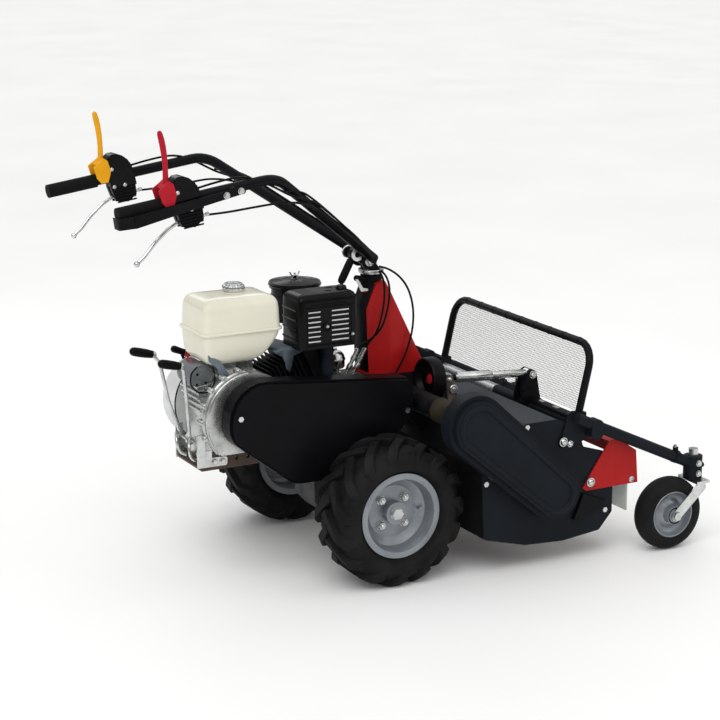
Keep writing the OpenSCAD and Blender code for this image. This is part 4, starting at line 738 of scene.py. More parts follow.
class MOWER_OT_muffler_cover(MowerOperator):
    """Pressed muffler cover with two rows of slots, side ribs and a line of small holes"""

    bl_idname = "mower.muffler_cover"
    bl_label = "Muffler cover"

    def execute(self, context):
        x0, x1, y0, y1, z0, z1, turn = -182, -4, -146, -36, 624, 774, 13
        bm = bmesh.new()
        shells = []
        steps = [(z0, 0), (z1 - 20, 0), (z1 - 12, 1.8), (z1 - 6, 5.2), (z1 - 2, 10.6), (z1, 19)]
        for wall in (0.0, 2.4):
            shells.append([rounded_ring(bm, x0 + i + wall, x1 - i - wall, y0 + i + wall, y1 - i - wall,
                turn - wall * 0.6, z - (wall if z > z0 else 0), 6) for z, i in steps])
            skin(bm, shells[-1])
            bm.faces.new(shells[-1][-1])
        skin(bm, [shells[0][0], shells[1][0]])
        cover = piece("muffler_cover_pressed", bm, stove_black, stands_for=["muffler_cover"])
        holes = bmesh.new()
        for k in range(7):
            z = 641 + 13.5 * k
            for a, b in ((-155, -114), (-84, -28)):
                block(holes, (a, y0 - 8, z), (b, y0 + 8, z + 6.2))
        for k in range(15):
            lathe(holes, [(0, -6), (2.1, -6), (2.1, 6), (0, 6)], (-146 + 7.2 * k, y0, 746), FAR, 8)
        for i in range(6):
            for k in range(7):
                lathe(holes, [(0, -6), (2.3, -6), (2.3, 6), (0, 6)],
                    (-160 + 7 * i, -124 + 11 * k, z1 - 1), UP, 8)
        for x, y in ((-78, -112), (-40, -112), (-58, -76)):
            block(holes, (x - 10, y - 5, z1 - 8), (x + 10, y + 5, z1 + 6))
        cut(cover, holes)
        bm = bmesh.new()
        for z in (650, 677, 704, 731):
            bend = [(x0 + turn - (turn + 0.6) * math.sin(math.radians(t)),
                y1 - turn + (turn + 0.6) * math.cos(math.radians(t)), z) for t in range(0, 91, 15)]
            sweep(bm, [(x0 + 60, y1 + 0.6, z)] + bend + [(x0 - 0.6, y0 + 18, z)], 2.4, 8, up=UP)
        for z in (635, 739):
            sweep(bm, [(-158, y0 - 0.4, z), (-24, y0 - 0.4, z)], 2.2, 8, up=UP)
        for x in (-158, -24):
            sweep(bm, [(x, y0 - 0.4, 635), (x, y0 - 0.4, 739)], 2.2, 8)
        lathe(bm, [(13, -1), (13, 2.4), (10, 4), (8.5, 2), (0, 2)], (-99, y0, 684), NEAR, 28)
        lathe(bm, [(0, 0), (15, 0), (16, 2), (13, 8), (6, 10.5), (0, 11)], (-30, -95, z1 - 1), UP, 28)
        piece("muffler_cover_ribs", bm, stove_black)
        bm = bmesh.new()
        for x, z in ((-99, 684), (-22, 656)):
            hex_head(bm, (x, y0 - 1.6, z), NEAR, 6.5, 3.4, 1.3)
        piece("muffler_cover_screws", bm, zinc_plate)
        # Bright can that shows through the slots
        bm = bmesh.new()
        for k in range(8):
            z = 634 + 13.5 * k
            plate(bm, [(-160, z), (-24, z), (-24, z + 12.5), (-160, z + 12.5)],
                y0 + 4.2 + 0.8 * (k % 2), y0 + 9)
        piece("muffler_can_face", bm, bright_alloy, edge=1.5)
        return {"FINISHED"}


class MOWER_OT_engine_sheets(MowerOperator):
    """Sheet shroud over the cylinder's fins, and the tank's bracket"""

    bl_idname = "mower.engine_sheets"
    bl_label = "Engine sheets"

    def execute(self, context):
        # The shroud's roof is folded back from a cut-out leg on the near side
        edge = [(-235, 618), (-204, 623), (-174, 627), (-139, 615)]
        leg = [(-154, 606), (-174, 601), (-180, 579), (-186, 556), (-198, 565), (-202, 586),
            (-210, 601), (-225, 610)]
        bm = bmesh.new()
        near = [bm.verts.new((x, -95, z)) for x, z in edge]
        far = [bm.verts.new((x, 40, z - 6)) for x, z in edge]
        for k in range(len(edge) - 1):
            bm.faces.new([near[k], near[k + 1], far[k + 1], far[k]])
        bm.faces.new(near + [bm.verts.new((x, -95, z)) for x, z in leg])
        shroud = piece("cylinder_shroud", bm, shroud_grey)
        thick = shroud.modifiers.new("sheet", "SOLIDIFY")
        thick.thickness = 0.0018
        thick.offset = 0.0
        lone("tank_bracket", shroud_grey, plate, [(-432, 633), (-396, 613), (-372, 574), (-372, 560),
            (-392, 556), (-406, 594), (-430, 615)], -104, -101, edge=0.8)
        return {"FINISHED"}


class MOWER_OT_air_cleaner(MowerOperator):
    """Lid, ribs and wing nut of the air cleaner"""

    bl_idname = "mower.air_cleaner"
    bl_label = "Air cleaner"

    def execute(self, context):
        bm = bmesh.new()
        lathe(bm, [(60, 0), (73, 1), (75, 4), (74, 8), (66, 13), (40, 15), (34, 18), (20, 18.5), (0, 18.5)],
            (*AIR_CLEANER, 752), UP, 64)
        for z in (676, 700, 724):
            lathe(bm, [(64, 0), (67.5, 1), (68.5, 3), (67.5, 5), (64, 6)], (*AIR_CLEANER, z), UP, 64)
        piece("air_cleaner_lid", bm, stove_black)
        bm = bmesh.new()
        lathe(bm, [(0, 0), (8, 0), (8, 2), (5, 3), (5, 10), (3, 12), (3, 17), (0, 17.5)],
            (*AIR_CLEANER, 770.5), UP, 16)
        for s in (-1, 1):
            wing = [(AIR_CLEANER[0] + s * out, AIR_CLEANER[1], z)
                for out, z in ((3, 776), (11, 783), (15, 791))]
            sweep(bm, curve(wing, 4), [(2, 3.4)] * 9, 10)
        piece("air_cleaner_wing_nut", bm, zinc_plate)
        return {"FINISHED"}


class MOWER_OT_exhaust(MowerOperator):
    """Dark pipe from the cylinder up to the muffler"""

    bl_idname = "mower.exhaust"
    bl_label = "Exhaust pipe"

    def execute(self, context):
        bm = bmesh.new()
        lathe(bm, [(0, 0), (24, 0), (24, 7), (19, 9), (18, 12), (18, 88), (24, 94), (24, 104), (0, 104)],
            (*EXHAUST, 526), UP, 32)
        for z in (536, 600):
            lathe(bm, [(17.6, 0), (20.4, 1), (20.4, 6), (17.6, 7)], (*EXHAUST, z), UP, 32)
        piece("exhaust_pipe", bm, blued_steel, crease=40)
        return {"FINISHED"}


class MOWER_OT_breather(MowerOperator):
    """Bright breather on the gearbox, behind the cable adjusters"""

    bl_idname = "mower.breather"
    bl_label = "Breather"

    def execute(self, context):
        lone("gearbox_breather", bright_alloy, lathe, [(0, 0), (18, 0), (18, 10), (14, 12), (14, 20),
            (27, 24), (29, 27), (29, 46), (31, 47), (31, 51), (29, 53), (27, 61), (20, 69), (10, 73),
            (7, 73.4), (7, 79), (0, 79.6)], (4, 10, 500), UP, 40, crease=50)
        return {"FINISHED"}


class MOWER_OT_crankcase(MowerOperator):
    """Rims, bolts, grey cover and casting at the rear of the crankcase"""

    bl_idname = "mower.crankcase"
    bl_label = "Crankcase trim"

    def execute(self, context):
        # Bright machined rims where the side cover meets the crankcase, at its rear only
        bm = bmesh.new()
        for r, y, size in ((124, -129, (5, 4.5)), (127, -140, (3, 2.2)), (124, -152, (4.6, 4.5))):
            route = [rim_point(r, y, t) for t in range(92, 226, 4)]
            sweep(bm, route, [size] * len(route), 10)
        for t in range(100, 220, 20):
            lathe(bm, [(0, 0), (8, 0), (8, 26), (6.5, 27.5), (0, 27.5)], rim_point(130, -112, t), NEAR, 14)
        piece("crankcase_rim", bm, cast_alloy, crease=60)
        bm = bmesh.new()
        for t in range(100, 220, 20):
            hex_head(bm, rim_point(130, -139.5, t), NEAR, 9, 5, 1.4)
        piece("crankcase_bolts", bm, zinc_plate)
        # Grey cover at the back and the casting under it
        lone("crankcase_rear_cover", grey_cast, lathe, [(0, 0), (33, 0), (35, 2), (35, 88), (33.4, 90),
            (30, 90), (29, 88.6), (9, 88.6), (8, 90.4), (0, 90.4)], (-427, 40, 561), NEAR, 48)
        bm = bmesh.new()
        plate(bm, [(-452, 540), (-398, 548), (-392, 470), (-436, 452)], -70, 30)
        for z in (470, 488, 506, 524):
            plate(bm, [(-457 + 0.2 * (524 - z), z), (-430, z), (-430, z + 6),
                (-457 + 0.2 * (524 - z), z + 6)], -74, 34)
        piece("crankcase_rear_casting", bm, cast_alloy, edge=2)
        return {"FINISHED"}


class MOWER_OT_wires(MowerOperator):
    """Wires behind the engine, with dark screws and the edge of the fan housing"""

    bl_idname = "mower.wires"
    bl_label = "Engine wires"

    def execute(self, context):
        bm = bmesh.new()
        for x, z in ((-450, 546), (-424, 549), (-448, 574)):
            lathe(bm, [(0, 0), (3.4, 0), (3.4, 2), (0, 2.4)], (x, -66.4, z), NEAR, 14)
        for t in range(110, 220, 26):
            lathe(bm, [(0, 0), (4.6, 0), (4.6, 3), (0, 3.4)], rim_point(112, -70, t), (-0.6, -0.8, 0), 14)
        ring = [rim_point(125.6, 62, t) for t in range(70, 231, 5)]
        sweep(bm, ring, 2.4, 8)
        sweep(bm, curve([(-402, -66, 590), (-400, -74, 556), (-418, -78, 528), (-446, -76, 526),
            (-468, -72, 548), (-466, -70, 578), (-448, -66, 594)], 6), 2.2, 8)
        piece("engine_wires", bm, pvc_jacket)
        bm = bmesh.new()
        for k in range(3):
            sweep(bm, curve([(-416 - 4 * k, 60, 612), (-430 - 5 * k, 30, 604 - 3 * k), (-444, 6 - 4 * k, 598),
                (-440 + 3 * k, -20, 600)], 5), 1.5, 6)
        piece("stop_switch_wires", bm, red_nylon)
        return {"FINISHED"}


class MOWER_OT_starter(MowerOperator):
    """Starter handle and its rope"""

    bl_idname = "mower.starter"
    bl_label = "Starter"

    def execute(self, context):
        bm = bmesh.new()
        ends = Vector((-445, 108, 608)), Vector((-393, 108, 586))
        rod(bm, [(0, 0, -3), (6, 0, -2), (9.4, 0, 2), (10, 0, 8), (9, 0.5, 0), (10, 1, -8), (9.4, 1, -2),
            (6, 1, 2), (0, 1, 3)], *ends, 28)
        lathe(bm, [(0, 0), (5, 0), (4, 22), (0, 22)], ends[0] + (ends[1] - ends[0]) * 0.5,
            (0.3, 0, -0.95), 14)
        piece("starter_handle", bm, moulded_black, "recoil_grip", crease=60, stands_for=["recoil_grip"])
        # Taut starter rope with its inner end in the boss
        bm = bmesh.new()
        inner, outer = Vector((-396, 108, 580)), Vector((-419, 108, 597))
        sweep(bm, [inner.lerp(outer, k / 10) for k in range(11)], 2.2, 10)
        rope = piece("starter_rope", bm, pvc_jacket, None, crease=60)
        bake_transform(rope)
        return {"FINISHED"}


# Routes of the near and far gear levers' hooked tails
GEAR_TAILS = [
    [(-473, -66, 398), (-483, -84, 384), (-483, -90, 360), (-472, -90, 346), (-459, -90, 347),
     (-462, -90, 366)],
    [(-474, -7, 399), (-500, -40, 415), (-510, -62, 405), (-511, -70, 388), (-502, -70, 368),
     (-486, -70, 358)]]


class MOWER_OT_gear_linkage(MowerOperator):
    """Knobs and hooked tails of the gear levers, and the strip bolted to the rail"""

    bl_idname = "mower.gear_linkage"
    bl_label = "Gear linkage"

    def execute(self, context):
        for name, a, b in (("near", (-492, -60, 600), (-545, -60, 613)),
                ("far", (-546, 0, 626), (-600, 0, 640))):
            bm = bmesh.new()
            rod(bm, [(0, 0, -8), (6.5, 0, -7), (9, 0, -4), (10.4, 0, 4), (12, 0.35, 0), (12.6, 0.7, 0),
                (12, 1, 0), (10, 1, 7), (5.5, 1, 11), (0, 1, 12)], a, b, 28)
            piece(f"gear_knob_{name}", bm, moulded_black, f"gear_lever_{name}", crease=60)
        for name, route in zip(("near", "far"), GEAR_TAILS):
            lone(f"gear_tail_{name}", zinc_plate, sweep, curve(route, 6), 4.2, 12,
                body=f"gear_lever_{name}", crease=60)
        bm = bmesh.new()
        plate(bm, [(-441, 332), (-396, 332), (-392, 338), (-392, 352), (-396, 357), (-441, 358)],
            -130, -126.2)
        for x, z in ((-430, 346), (-406, 345)):
            hex_head(bm, (x, -130, z), NEAR, 13, 6, 1.5)
        piece("rail_strip", bm, zinc_plate, edge=0.6)
        return {"FINISHED"}


class MOWER_OT_handlebar_head(MowerOperator):
    """Plated ring, rubber neck, stop, a dark sheet of painted shade in the column's back, and clamp grip at
    the foot of the handlebar
    """

    bl_idname = "mower.handlebar_head"
    bl_label = "Handlebar head"

    def execute(self, context):
        bm = bmesh.new()
        lathe(bm, [(26, -0.1), (35, -0.1), (36.4, 1), (36.4, 9.6), (35, 11.6), (16, 11.8)],
            (115, 0, 786.4), UP, 56)
        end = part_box("handlebar_head")[0][1] / MM
        for s in (-1, 1):
            hex_head(bm, (92, -s * end, 826), (0, s, 0), 19, 10, 1.5)
            lathe(bm, [(9, 0), (17, 0), (18.4, 1.4), (18.4, 4), (9, 4.4)], (CLAMP[0], s * 26.2, CLAMP[1]),
                (0, s, 0), 72, lobes=24, depth=1.6)
        piece("head_plated_parts", bm, zinc_plate, "handlebar_head")
        bm = bmesh.new()
        lathe(bm, [(27.2, 0), (30, 0), (30.6, 3), (29, 8), (30.6, 13), (29, 18), (30.6, 23), (29, 28),
            (30.6, 33), (29.4, 38), (27.2, 40)], (115, 0, 745), UP, 48)
        lathe(bm, [(0, 0), (5, 0), (5, 22), (8.4, 23), (8.4, 42), (6.5, 45), (0, 45.5)], (92, -14, 772),
            (-0.93, -0.3, 0.2), 24)
        piece("neck_boot", bm, soft_rubber, crease=60)
        # The column is open behind; a dark rubber sheet there is painted shade inside the channel
        bm = bmesh.new()
        rows = [[bm.verts.new((x, y, z)) for x, z in ((85.2, 509), (77, 694), (104, 764))]
            for y in (-COLUMN_SHADE_HALF, COLUMN_SHADE_HALF)]
        for k in range(2):
            bm.faces.new([rows[0][k], rows[0][k + 1], rows[1][k + 1], rows[1][k]])
        back = piece("column_back", bm, soft_rubber)
        back.modifiers.new("sheet", "SOLIDIFY").thickness = 0.0006
        lone("neck_stop", zinc_plate, plate, [(48, 779), (56, 779), (72, 752), (88, 748), (88, 742),
            (66, 742)], -34, -31, edge=0.6)
        bm = bmesh.new()
        lean = math.radians(28)
        lathe(bm, [(9.1, 18), (10.4, 20), (11, 32), (11, 74), (10.2, 84), (7, 90), (0, 92)],
            (CLAMP[0], -8, CLAMP[1]), (-math.sin(lean), 0, -math.cos(lean)), 32)
        piece("clamp_grip", bm, soft_rubber, "clamp_lever", crease=60)
        return {"FINISHED"}


class MOWER_OT_bar_controls(MowerOperator):
    """Domes, ribs and screws of the control housings, and the stop lever"""

    bl_idname = "mower.bar_controls"
    bl_label = "Bar controls"

    def execute(self, context):
        for side, name in SIDES:
            bm = bmesh.new()
            plate(bm, [(-291, -26), (-293, 44), (-287, 58), (-277, 64), (-262, 63), (-246, 55), (-232, 41),
                (-223, 22), (-219, -4), (-217, -30)], -20.4, 20.4)
            for k in range(5):
                z = -34 - 8.5 * k
                for s in (-1, 1):
                    block(bm, (-287 + 1.5 * k, s * 20 - 2.4, z - 2.4), (-224, s * 20 + 2.4, z + 2.4))
            piece(f"housing_dome_{name}", bm, stove_black, "handlebars", edge=5, crease=50, turn=on_bar(side))
            bm = bmesh.new()
            for x, y, z in ((-283, -20.6, 25), (-283, -19.2, -24), (-252, -19.2, -24)):
                dome_head(bm, (x, y, z), NEAR, 5.2)
            lathe(bm, [(0, 0), (4.4, 0), (4.4, 12), (6, 12.6), (6, 20), (3.6, 22), (0, 22)], (-221, 0, -52),
                (1, 0, 0.12), 20)
            piece(f"housing_screws_{name}", bm, zinc_plate, "handlebars", turn=on_bar(side))
        # Channel of the stop lever, which closes round the end of the grip
        bm = bmesh.new()
        plate(bm, [(-412, -38), (-410, -7), (-236, 1), (-131, 4), (-108, 4), (-103, -2), (-103, -10),
            (-108, -14), (-131, -15), (-240, -23)], -33.4, -30)
        plate(bm, [(-410, -7), (-238, 1), (-238, -2), (-410, -10)], -33, -25)
        plate(bm, [(-410, -35), (-240, -20), (-240, -23), (-410, -38)], -33, -25)
        end = [(-412, -33.4), (-447, -19), (-449.6, -14), (-449.6, 16), (-446.4, 16), (-446.4, -14),
            (-444, -17), (-409, -30)]
        low, high = [[bm.verts.new((x, y, z)) for x, y in end] for z in (-37, -7)]
        skin(bm, [low, high])
        bm.faces.new(low)
        bm.faces.new(high[::-1])
        lathe(bm, [(0, 0), (9, 0), (9, 3), (6, 4), (6, 30), (0, 30)], (-136, -30, 0), FAR, 24)
        piece("stop_lever_channel", bm, powder_black, "stop_lever", edge=1, stands_for=["stop_lever"],
            turn=on_bar(-1))
        bm = bmesh.new()
        for x, z in ((-158, -8), (-117, -5)):
            hex_head(bm, (x, -34.2, z), NEAR, 12, 5, 1.5)
        piece("stop_lever_bolts", bm, zinc_plate, "stop_lever", turn=on_bar(-1))
        return {"FINISHED"}


# Routes of the cables along the left bar; the right bar's are their mirror
BAR_ROUTES = [
    [(-509, 225, 1101), (-450, 224, 1113), (-391, 223, 1120), (-345, 226, 1112), (-300, 234, 1092),
     (-250, 228, 1066), (-200, 208, 1048), (-150, 180, 1030), (-90, 150, 990), (-30, 118, 946),
     (30, 86, 900), (70, 67, 868), (86, 61, 848)],
    [(-497, 225, 1031), (-420, 224, 1034), (-341, 225, 1041), (-270, 228, 1046), (-205, 216, 1037),
     (-150, 187, 1013), (-90, 154, 972), (-30, 124, 929), (30, 94, 885), (66, 76, 856), (92, 66, 824)],
    [(-260, 221, 1075), (-200, 200, 1064), (-150, 171, 1037), (-90, 141, 994), (-30, 109, 949),
     (30, 77, 904), (74, 62, 860)]]


class MOWER_OT_bar_cables(MowerOperator):
    """Cables that run along the bars from the control housings to the head"""

    bl_idname = "mower.bar_cables"
    bl_label = "Bar cables"

    def execute(self, context):
        sizes = context.scene.mower_sizes
        bm = bmesh.new()
        for s in (-1, 1):
            for route in BAR_ROUTES:
                sweep(bm, curve([(x, s * y, z) for x, y, z in route], 5), sizes.cable / MM / 2, 10)
        piece("bar_cables_smooth", bm, pvc_jacket, "handlebars", crease=60, stands_for=["bar_cables"])
        return {"FINISHED"}


class MOWER_OT_height_link(MowerOperator):
    """Sleeve, handwheel and strap of the height link"""

    bl_idname = "mower.height_link"
    bl_label = "Height link"

    def execute(self, context):
        lone("link_sleeve", zinc_plate, lathe, [(11.4, 34), (14.6, 34), (15, 36), (15, 146), (13.4, 150),
            (11.4, 151)], (0, 0, 0), AHEAD, 36, body="link_tube", turn=on_link())
        lone("handwheel_moulded", moulded_black, lathe, [(0, 2), (15, 2), (17, -2), (40, -1), (47, -12),
            (52, -19), (57, -20), (60.4, -17), (62, -10), (62, 13), (60, 19), (54, 21), (46, 15), (30, 11),
            (14, 12), (12.6, 28), (10.4, 30), (8.4, 30), (8.4, 120), (0, 120)], (-52, 0, 0), AHEAD, 72,
            body="handwheel", crease=50, stands_for=["handwheel"], turn=on_link())
        lone("handwheel_cap", red_nylon, lathe, [(0, 3), (13.6, 3), (14.6, 0.6), (13.6, -1.4), (8, -3),
            (0, -3.4)], (-52, 0, 0), AHEAD, 36, body="handwheel", turn=on_link())
        lone("strap_face", brown_primer, plate, [(275, 497), (297, 497), (308, 452), (304, 436), (284, 418)],
            STRAP_FACE - 2.4, STRAP_FACE - 0.5, edge=0.5)
        return {"FINISHED"}


class MOWER_OT_frame_bolts(MowerOperator):
    """Domed bolts of the strap, the deck's sides and the front hood"""

    bl_idname = "mower.frame_bolts"
    bl_label = "Frame bolts"

    def execute(self, context):
        bm = bmesh.new()
        dome_head(bm, (LINK_PIN[0], STRAP_FACE - 2.4, LINK_PIN[2]), NEAR, 7)
        lathe(bm, [(0, 0), (13, 0), (13, 4), (11.6, 5.4), (6, 5.4), (5.4, 8.4), (0, 9)],
            (298, STRAP_FACE - 2.4, 460), NEAR, 32)
        for s in (-1, 1):
            dome_head(bm, (478, s * 439.2, 355), (0, s, 0), 13)
            dome_head(bm, (500, s * 439.2, 347), (0, s, 0), 9)
            dome_head(bm, (572, s * 440.2, 226), (0, s, 0), 13)
        piece("frame_bolts", bm, zinc_plate)
        bm = bmesh.new()
        for s in (-1, 1):
            dome_head(bm, (712, s * 437.3, 214), (0, s, 0), 8.6)
        piece("hood_bolts", bm, zinc_plate, "front_hood")
        return {"FINISHED"}


class MOWER_OT_gauge_frame(MowerOperator):
    """Plated far half of the cross bar, hinge strip, gusset, clips and bolts"""

    bl_idname = "mower.gauge_frame"
    bl_label = "Gauge frame"

    def execute(self, context):
        lone("cross_bar_plated_half", galvanised, lathe, [(16, 0), (16.5, 0), (16.5, 391), (16, 391)],
            (CROSS_BAR[0], 50, CROSS_BAR[1]), FAR, 40, body="gauge_frame")
        bm = bmesh.new()
        plate(bm, [(554, 388), (556, 398), (578, 402), (584, 394), (583, 384), (580, 392), (560, 389)],
            -432, -104)
        for s in (-1, 1):
            y = -126 + s * 23
            plate(bm, [(528, 388), (590, 386), (590, 400), (575, 476), (564, 484), (551, 479), (530, 412)],
                y - 1.8, y + 1.8)
        plate(bm, [(538, 386), (598, 386), (594, 397), (542, 397)], -150, -102)
        # Thin bands that tie the mesh to the top of the guard
        for k in range(9):
            at = Vector(on_guard(-300 + 75 * k, 211))
            lathe(bm, [(10.6, -2), (11.9, -2), (11.9, 2), (10.6, 2)], at + Vector((2.7, 0, 11.7)), FAR, 24)
        for s in (-1, 1):
            block(bm, (556, s * 368 - 14, 390), (592, s * 368 + 14, 412))
            lathe(bm, [(16.1, -7), (19, -7), (19, 7), (16.1, 7)], (846, s * CASTER_Y, 267.6),
                (0.909, 0, -0.417), 32)
            block(bm, (842, s * CASTER_Y - 7, 284), (852, s * CASTER_Y + 7, 296))
        piece("gauge_frame_clips", bm, powder_black, "gauge_frame", edge=0.8)
        bm = bmesh.new()
        hex_head(bm, (LINK_FRONT[0], -151, LINK_FRONT[1]), NEAR, 15, 7, 1.5)
        for y in (-190, -265, -345):
            block(bm, (562, y - 13, 399), (574, y + 13, 401.6))
        for s in (-1, 1):
            hex_head(bm, (846, s * CASTER_Y, 295), UP, 10, 5, 1.3)
            for z in (244, 214):
                hex_head(bm, (910, s * (CASTER_Y + 27), z), (0, s, 0), 13, 6, 1.4)
        piece("gauge_frame_bolts", bm, zinc_plate, "gauge_frame")
        return {"FINISHED"}


class MOWER_OT_deck_fittings(MowerOperator):
    """Guide fins, cross shaft housing, and a dark rubber sheet of painted shade over the back of the deck"""

    bl_idname = "mower.deck_fittings"
    bl_label = "Deck fittings"

    def execute(self, context):
        # Dark guide fin on each side
        bm = bmesh.new()
        for s in (-1, 1):
            plate(bm, [(547, 197), (629, 163), (531, 119), (516, 125)], min(s * 432.3, s * 444),
                max(s * 432.3, s * 444))
        piece("deck_guide_fins", bm, powder_black, edge=1.5)
        # Olive housing on the near end of the cross shaft
        lone("cross_shaft_housing", olive_cast, lathe, [(32.2, 0), (36, 0), (37, 2), (37, 9), (34, 12),
            (33, 14), (33, 128), (35, 131), (35, 140), (32.2, 142)],
            (TRACK_TOP[0], -424, TRACK_TOP[1]), FAR, 48)
        # Dark rubber sheet over the back of the hood: painted shade on its rear face and slope
        lone("deck_back_sheet", soft_rubber, plate, [(231.4, 112), (231.4, 300.6), (330, 390.4),
            (331.4, 389), (232.4, 300), (232.4, 112)], -424, 424)
        return {"FINISHED"}


class MOWER_OT_belt_covers(MowerOperator):
    """Embossed track of the deck's belt cover"""

    bl_idname = "mower.belt_covers"
    bl_label = "Belt covers"

    def execute(self, context):
        bm = bmesh.new()
        run, drop = TRACK_LOW[0] - TRACK_TOP[0], TRACK_LOW[1] - TRACK_TOP[1]
        route = []
        for x, z in loop(TRACK_TOP, 55, TRACK_LOW, 47, 20):
            # The track narrows in the middle of its lower run
            share = ((x - TRACK_TOP[0]) * run + (z - TRACK_TOP[1]) * drop) / (run ** 2 + drop ** 2)
            below = (x - TRACK_TOP[0]) * drop - (z - TRACK_TOP[1]) * run
            pull = 9 * math.exp(-((share - 0.45) / 0.2) ** 2) if below > 0 else 0
            route.append((x + pull * 0.66, -492.6, z + pull * 0.75))
        dense = []
        for a, b in zip(route, route[1:] + route[:1]):
            steps = max(1, int((Vector(b) - Vector(a)).length / 12))
            dense += [Vector(a).lerp(Vector(b), k / steps) for k in range(steps)]
        sweep(bm, dense, [(8, 5)] * len(dense), 12, closed=True)
        piece("deck_cover_track", bm, anthracite)
        return {"FINISHED"}


class MOWER_OT_guard_mesh(MowerOperator):
    """Fine woven wire of the front guard"""

    bl_idname = "mower.guard_mesh"
    bl_label = "Guard mesh"

    def execute(self, context):
        sizes = context.scene.mower_sizes
        bm = bmesh.new()
        half, low, top, turn = 356.7, 34.0, 211.7, 49.0
        r, step = sizes.wire / MM / 2, sizes.weave / MM
        count = int(2 * half / step)
        for i in range(count + 1):
            y = -half + 2 * half * i / count
            over = abs(y) - (half - turn)
            reach = top if over <= 0 else top - turn + math.sqrt(max(0, turn * turn - over * over))
            # The mesh is notched round the link's bracket
            foot = low + 26 if abs(y + 126) < 28 else low
            sweep(bm, [on_guard(y, foot), on_guard(y, max(foot + 1, reach))], r, 4)
        for k in range(int((top - low) / step) + 1):
            h = low + k * step
            over = h - (top - turn)
            wide = half if over <= 0 else half - turn + math.sqrt(max(0, turn * turn - over * over))
            spans = [(-wide, -154), (-98, wide)] if h < low + 26 else [(-wide, wide)]
            for a, b in spans:
                sweep(bm, [on_guard(a, h, r), on_guard(b, h, r)], r, 4, up=UP)
        piece("guard_wire", bm, powder_black, "gauge_frame", stands_for=["guard_mesh"])
        return {"FINISHED"}


class MOWER_OT_caster_wheels(MowerOperator):
    """Gauge wheels: solid tyres on pressed rims with bearings"""

    bl_idname = "mower.caster_wheels"
    bl_label = "Gauge wheels"

    def execute(self, context):
        for side, name in SIDES:
            wheel = f"caster_wheel_{name}"
            at = (CASTER_AXLE[0], side * CASTER_Y, CASTER_AXLE[1])
            bm = bmesh.new()
            half = [(62, 22), (66, 27), (74, 30), (84, 30.6), (93, 28), (99, 22), (103, 13), (104.6, 5)]
            profile = [(r, -h) for r, h in half] + [(105, 0)] + half[::-1] + [(62, -22)]
            lathe(bm, profile, at, FAR, 72)
            piece(f"caster_tyre_{name}", bm, tyre_rubber, wheel, crease=60, stands_for=[wheel])
            bm = bmesh.new()
            for s in (-1, 1):
                lathe(bm, [(66, 25), (67.5, 27), (66, 28.6), (63, 27), (61, 22), (57, 14), (52, 9), (44, 7),
                    (38, 10), (33, 16), (27, 18), (26, 24), (26, 38), (24, 39), (9, 39), (8.6, 36),
                    (8.6, 0)], at, (0, s, 0), 60)
            piece(f"caster_rim_{name}", bm, rim_paint, wheel, crease=40, stands_for=[wheel])
            bm = bmesh.new()
            for s in (-1, 1):
                lathe(bm, [(9, 38), (24, 38), (24.6, 39.4), (21, 39.8), (20, 38.6), (12, 38.6), (11, 39.6),
                    (9, 39.6)], at, (0, s, 0), 40)
            piece(f"caster_bearings_{name}", bm, engine_black, wheel)
        return {"FINISHED"}


class MOWER_OT_wheel_fittings(MowerOperator):
    """Nuts, studs and hub nuts of the drive wheels"""

    bl_idname = "mower.wheel_fittings"
    bl_label = "Drive wheel fittings"

    def execute(self, context):
        for side, name in SIDES:
            bm = bmesh.new()
            for k in range(4):
                a = math.radians(45 + 90 * k)
                at = (NUT_CIRCLE * math.cos(a), side * (RIM_FACE + 14.2), HUB_Z + NUT_CIRCLE * math.sin(a))
                hex_head(bm, at, (0, side, 0), 20.5, 9.6, 1.25)
                lathe(bm, [(0, 0), (6.3, 0), (6.3, 15.6), (5, 16.8), (0, 16.8)], at, (0, side, 0), 20)
            hex_head(bm, (0, side * (RIM_FACE + 39.2), HUB_Z), (0, side, 0), 32.5, 9.4, 1.2)
            piece(f"wheel_nuts_{name}", bm, zinc_plate, f"wheel_{name}")
        return {"FINISHED"}


# Height, place ahead of the pin and half sizes of an upright lever, from its foot to its tip
LEVER_SECTIONS = [
    (18, 0, 11, 7), (30, 1, 11.5, 7.5), (42, 3, 10, 7), (62, 7, 7.6, 6), (90, 11, 7, 5.4),
    (118, 13, 7.6, 5), (142, 13, 8.2, 4.8), (160, 12, 8.2, 4.6), (174, 10.5, 7.6, 4.2),
    (181, 9.5, 6, 3.2), (184, 9, 2, 1.2)]


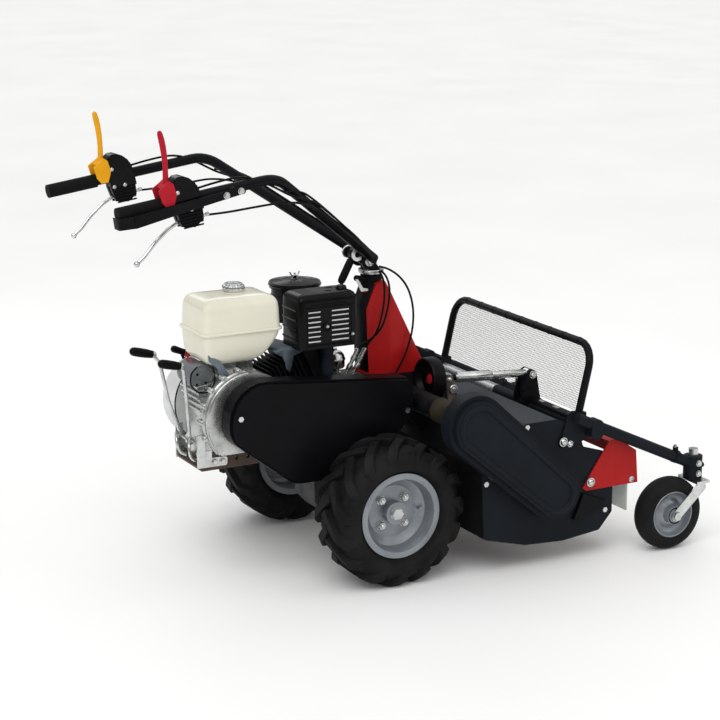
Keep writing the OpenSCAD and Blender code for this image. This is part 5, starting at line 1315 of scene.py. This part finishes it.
class MOWER_OT_upright_levers(MowerOperator):
    """Moulded clutch and drive levers with their foot blocks"""

    bl_idname = "mower.upright_levers"
    bl_label = "Upright levers"

    def execute(self, context):
        for side, finish, name in ((1, yellow_nylon, "clutch_lever"), (-1, red_nylon, "drive_lever")):
            bm = bmesh.new()
            route = [(LEVER_PIN_X + x, 0, z) for z, x, *_ in LEVER_SECTIONS]
            sweep(bm, route, [section[2:] for section in LEVER_SECTIONS], 16)
            lathe(bm, [(4.4, -7.2), (11, -7.2), (12.5, -5.6), (12.5, 5.6), (11, 7.2), (4.4, 7.2),
                (4.4, -7.2)], (LEVER_PIN_X, 0, 27), FAR, 32)
            plate(bm, [(-321, 42), (-313, 19.5), (-288, 19.5), (-291, 50), (-300, 58), (-314, 50)],
                -19.4, 19.4)
            for y in (-21.2, 21.2):
                plate(bm, [(-333, 40), (-328, 8), (-318, -7), (-298, -8), (-286, 20), (-291, 50), (-300, 58),
                    (-314, 50)], y - 2, y + 2)
            piece(f"{name}_moulded", bm, finish, name, edge=1.4, stands_for=[name], crease=45,
                turn=on_bar(side))
        return {"FINISHED"}


class MowerPanel(bpy.types.Panel):
    """The owner's colours and sizes, and a button for each step"""

    bl_idname = "MOWER_PT_pieces"
    bl_label = "Flail mower"
    bl_space_type = "VIEW_3D"
    bl_region_type = "UI"
    bl_category = "Mower"

    def draw(self, context):
        for group in (context.scene.mower_colours, context.scene.mower_sizes):
            for name in group.__annotations__:
                self.layout.prop(group, name)
        for step in STEPS:
            self.layout.operator(step.bl_idname)


STEPS = (MOWER_OT_stage, MOWER_OT_finishes, MOWER_OT_control_cables, MOWER_OT_fuel_tank,
    MOWER_OT_muffler_cover, MOWER_OT_engine_sheets, MOWER_OT_air_cleaner, MOWER_OT_exhaust,
    MOWER_OT_breather, MOWER_OT_crankcase, MOWER_OT_wires, MOWER_OT_starter, MOWER_OT_gear_linkage,
    MOWER_OT_handlebar_head, MOWER_OT_bar_controls, MOWER_OT_bar_cables, MOWER_OT_height_link,
    MOWER_OT_frame_bolts, MOWER_OT_gauge_frame, MOWER_OT_deck_fittings, MOWER_OT_belt_covers,
    MOWER_OT_guard_mesh, MOWER_OT_caster_wheels, MOWER_OT_wheel_fittings, MOWER_OT_upright_levers)
CLASSES = (MowerColours, MowerSizes) + STEPS + (MowerPanel,)


def register():
    for item in CLASSES:
        bpy.utils.register_class(item)
    bpy.types.Scene.mower_colours = bpy.props.PointerProperty(type=MowerColours)
    bpy.types.Scene.mower_sizes = bpy.props.PointerProperty(type=MowerSizes)


def unregister():
    del bpy.types.Scene.mower_sizes
    del bpy.types.Scene.mower_colours
    for item in reversed(CLASSES):
        bpy.utils.unregister_class(item)


def main():
    register()
    for step in STEPS:
        family, name = step.bl_idname.split(".")
        if getattr(getattr(bpy.ops, family), name)() != {"FINISHED"}:
            raise RuntimeError(f"{step.bl_label} wasn't made")


if __name__ == "__main__":
    main()
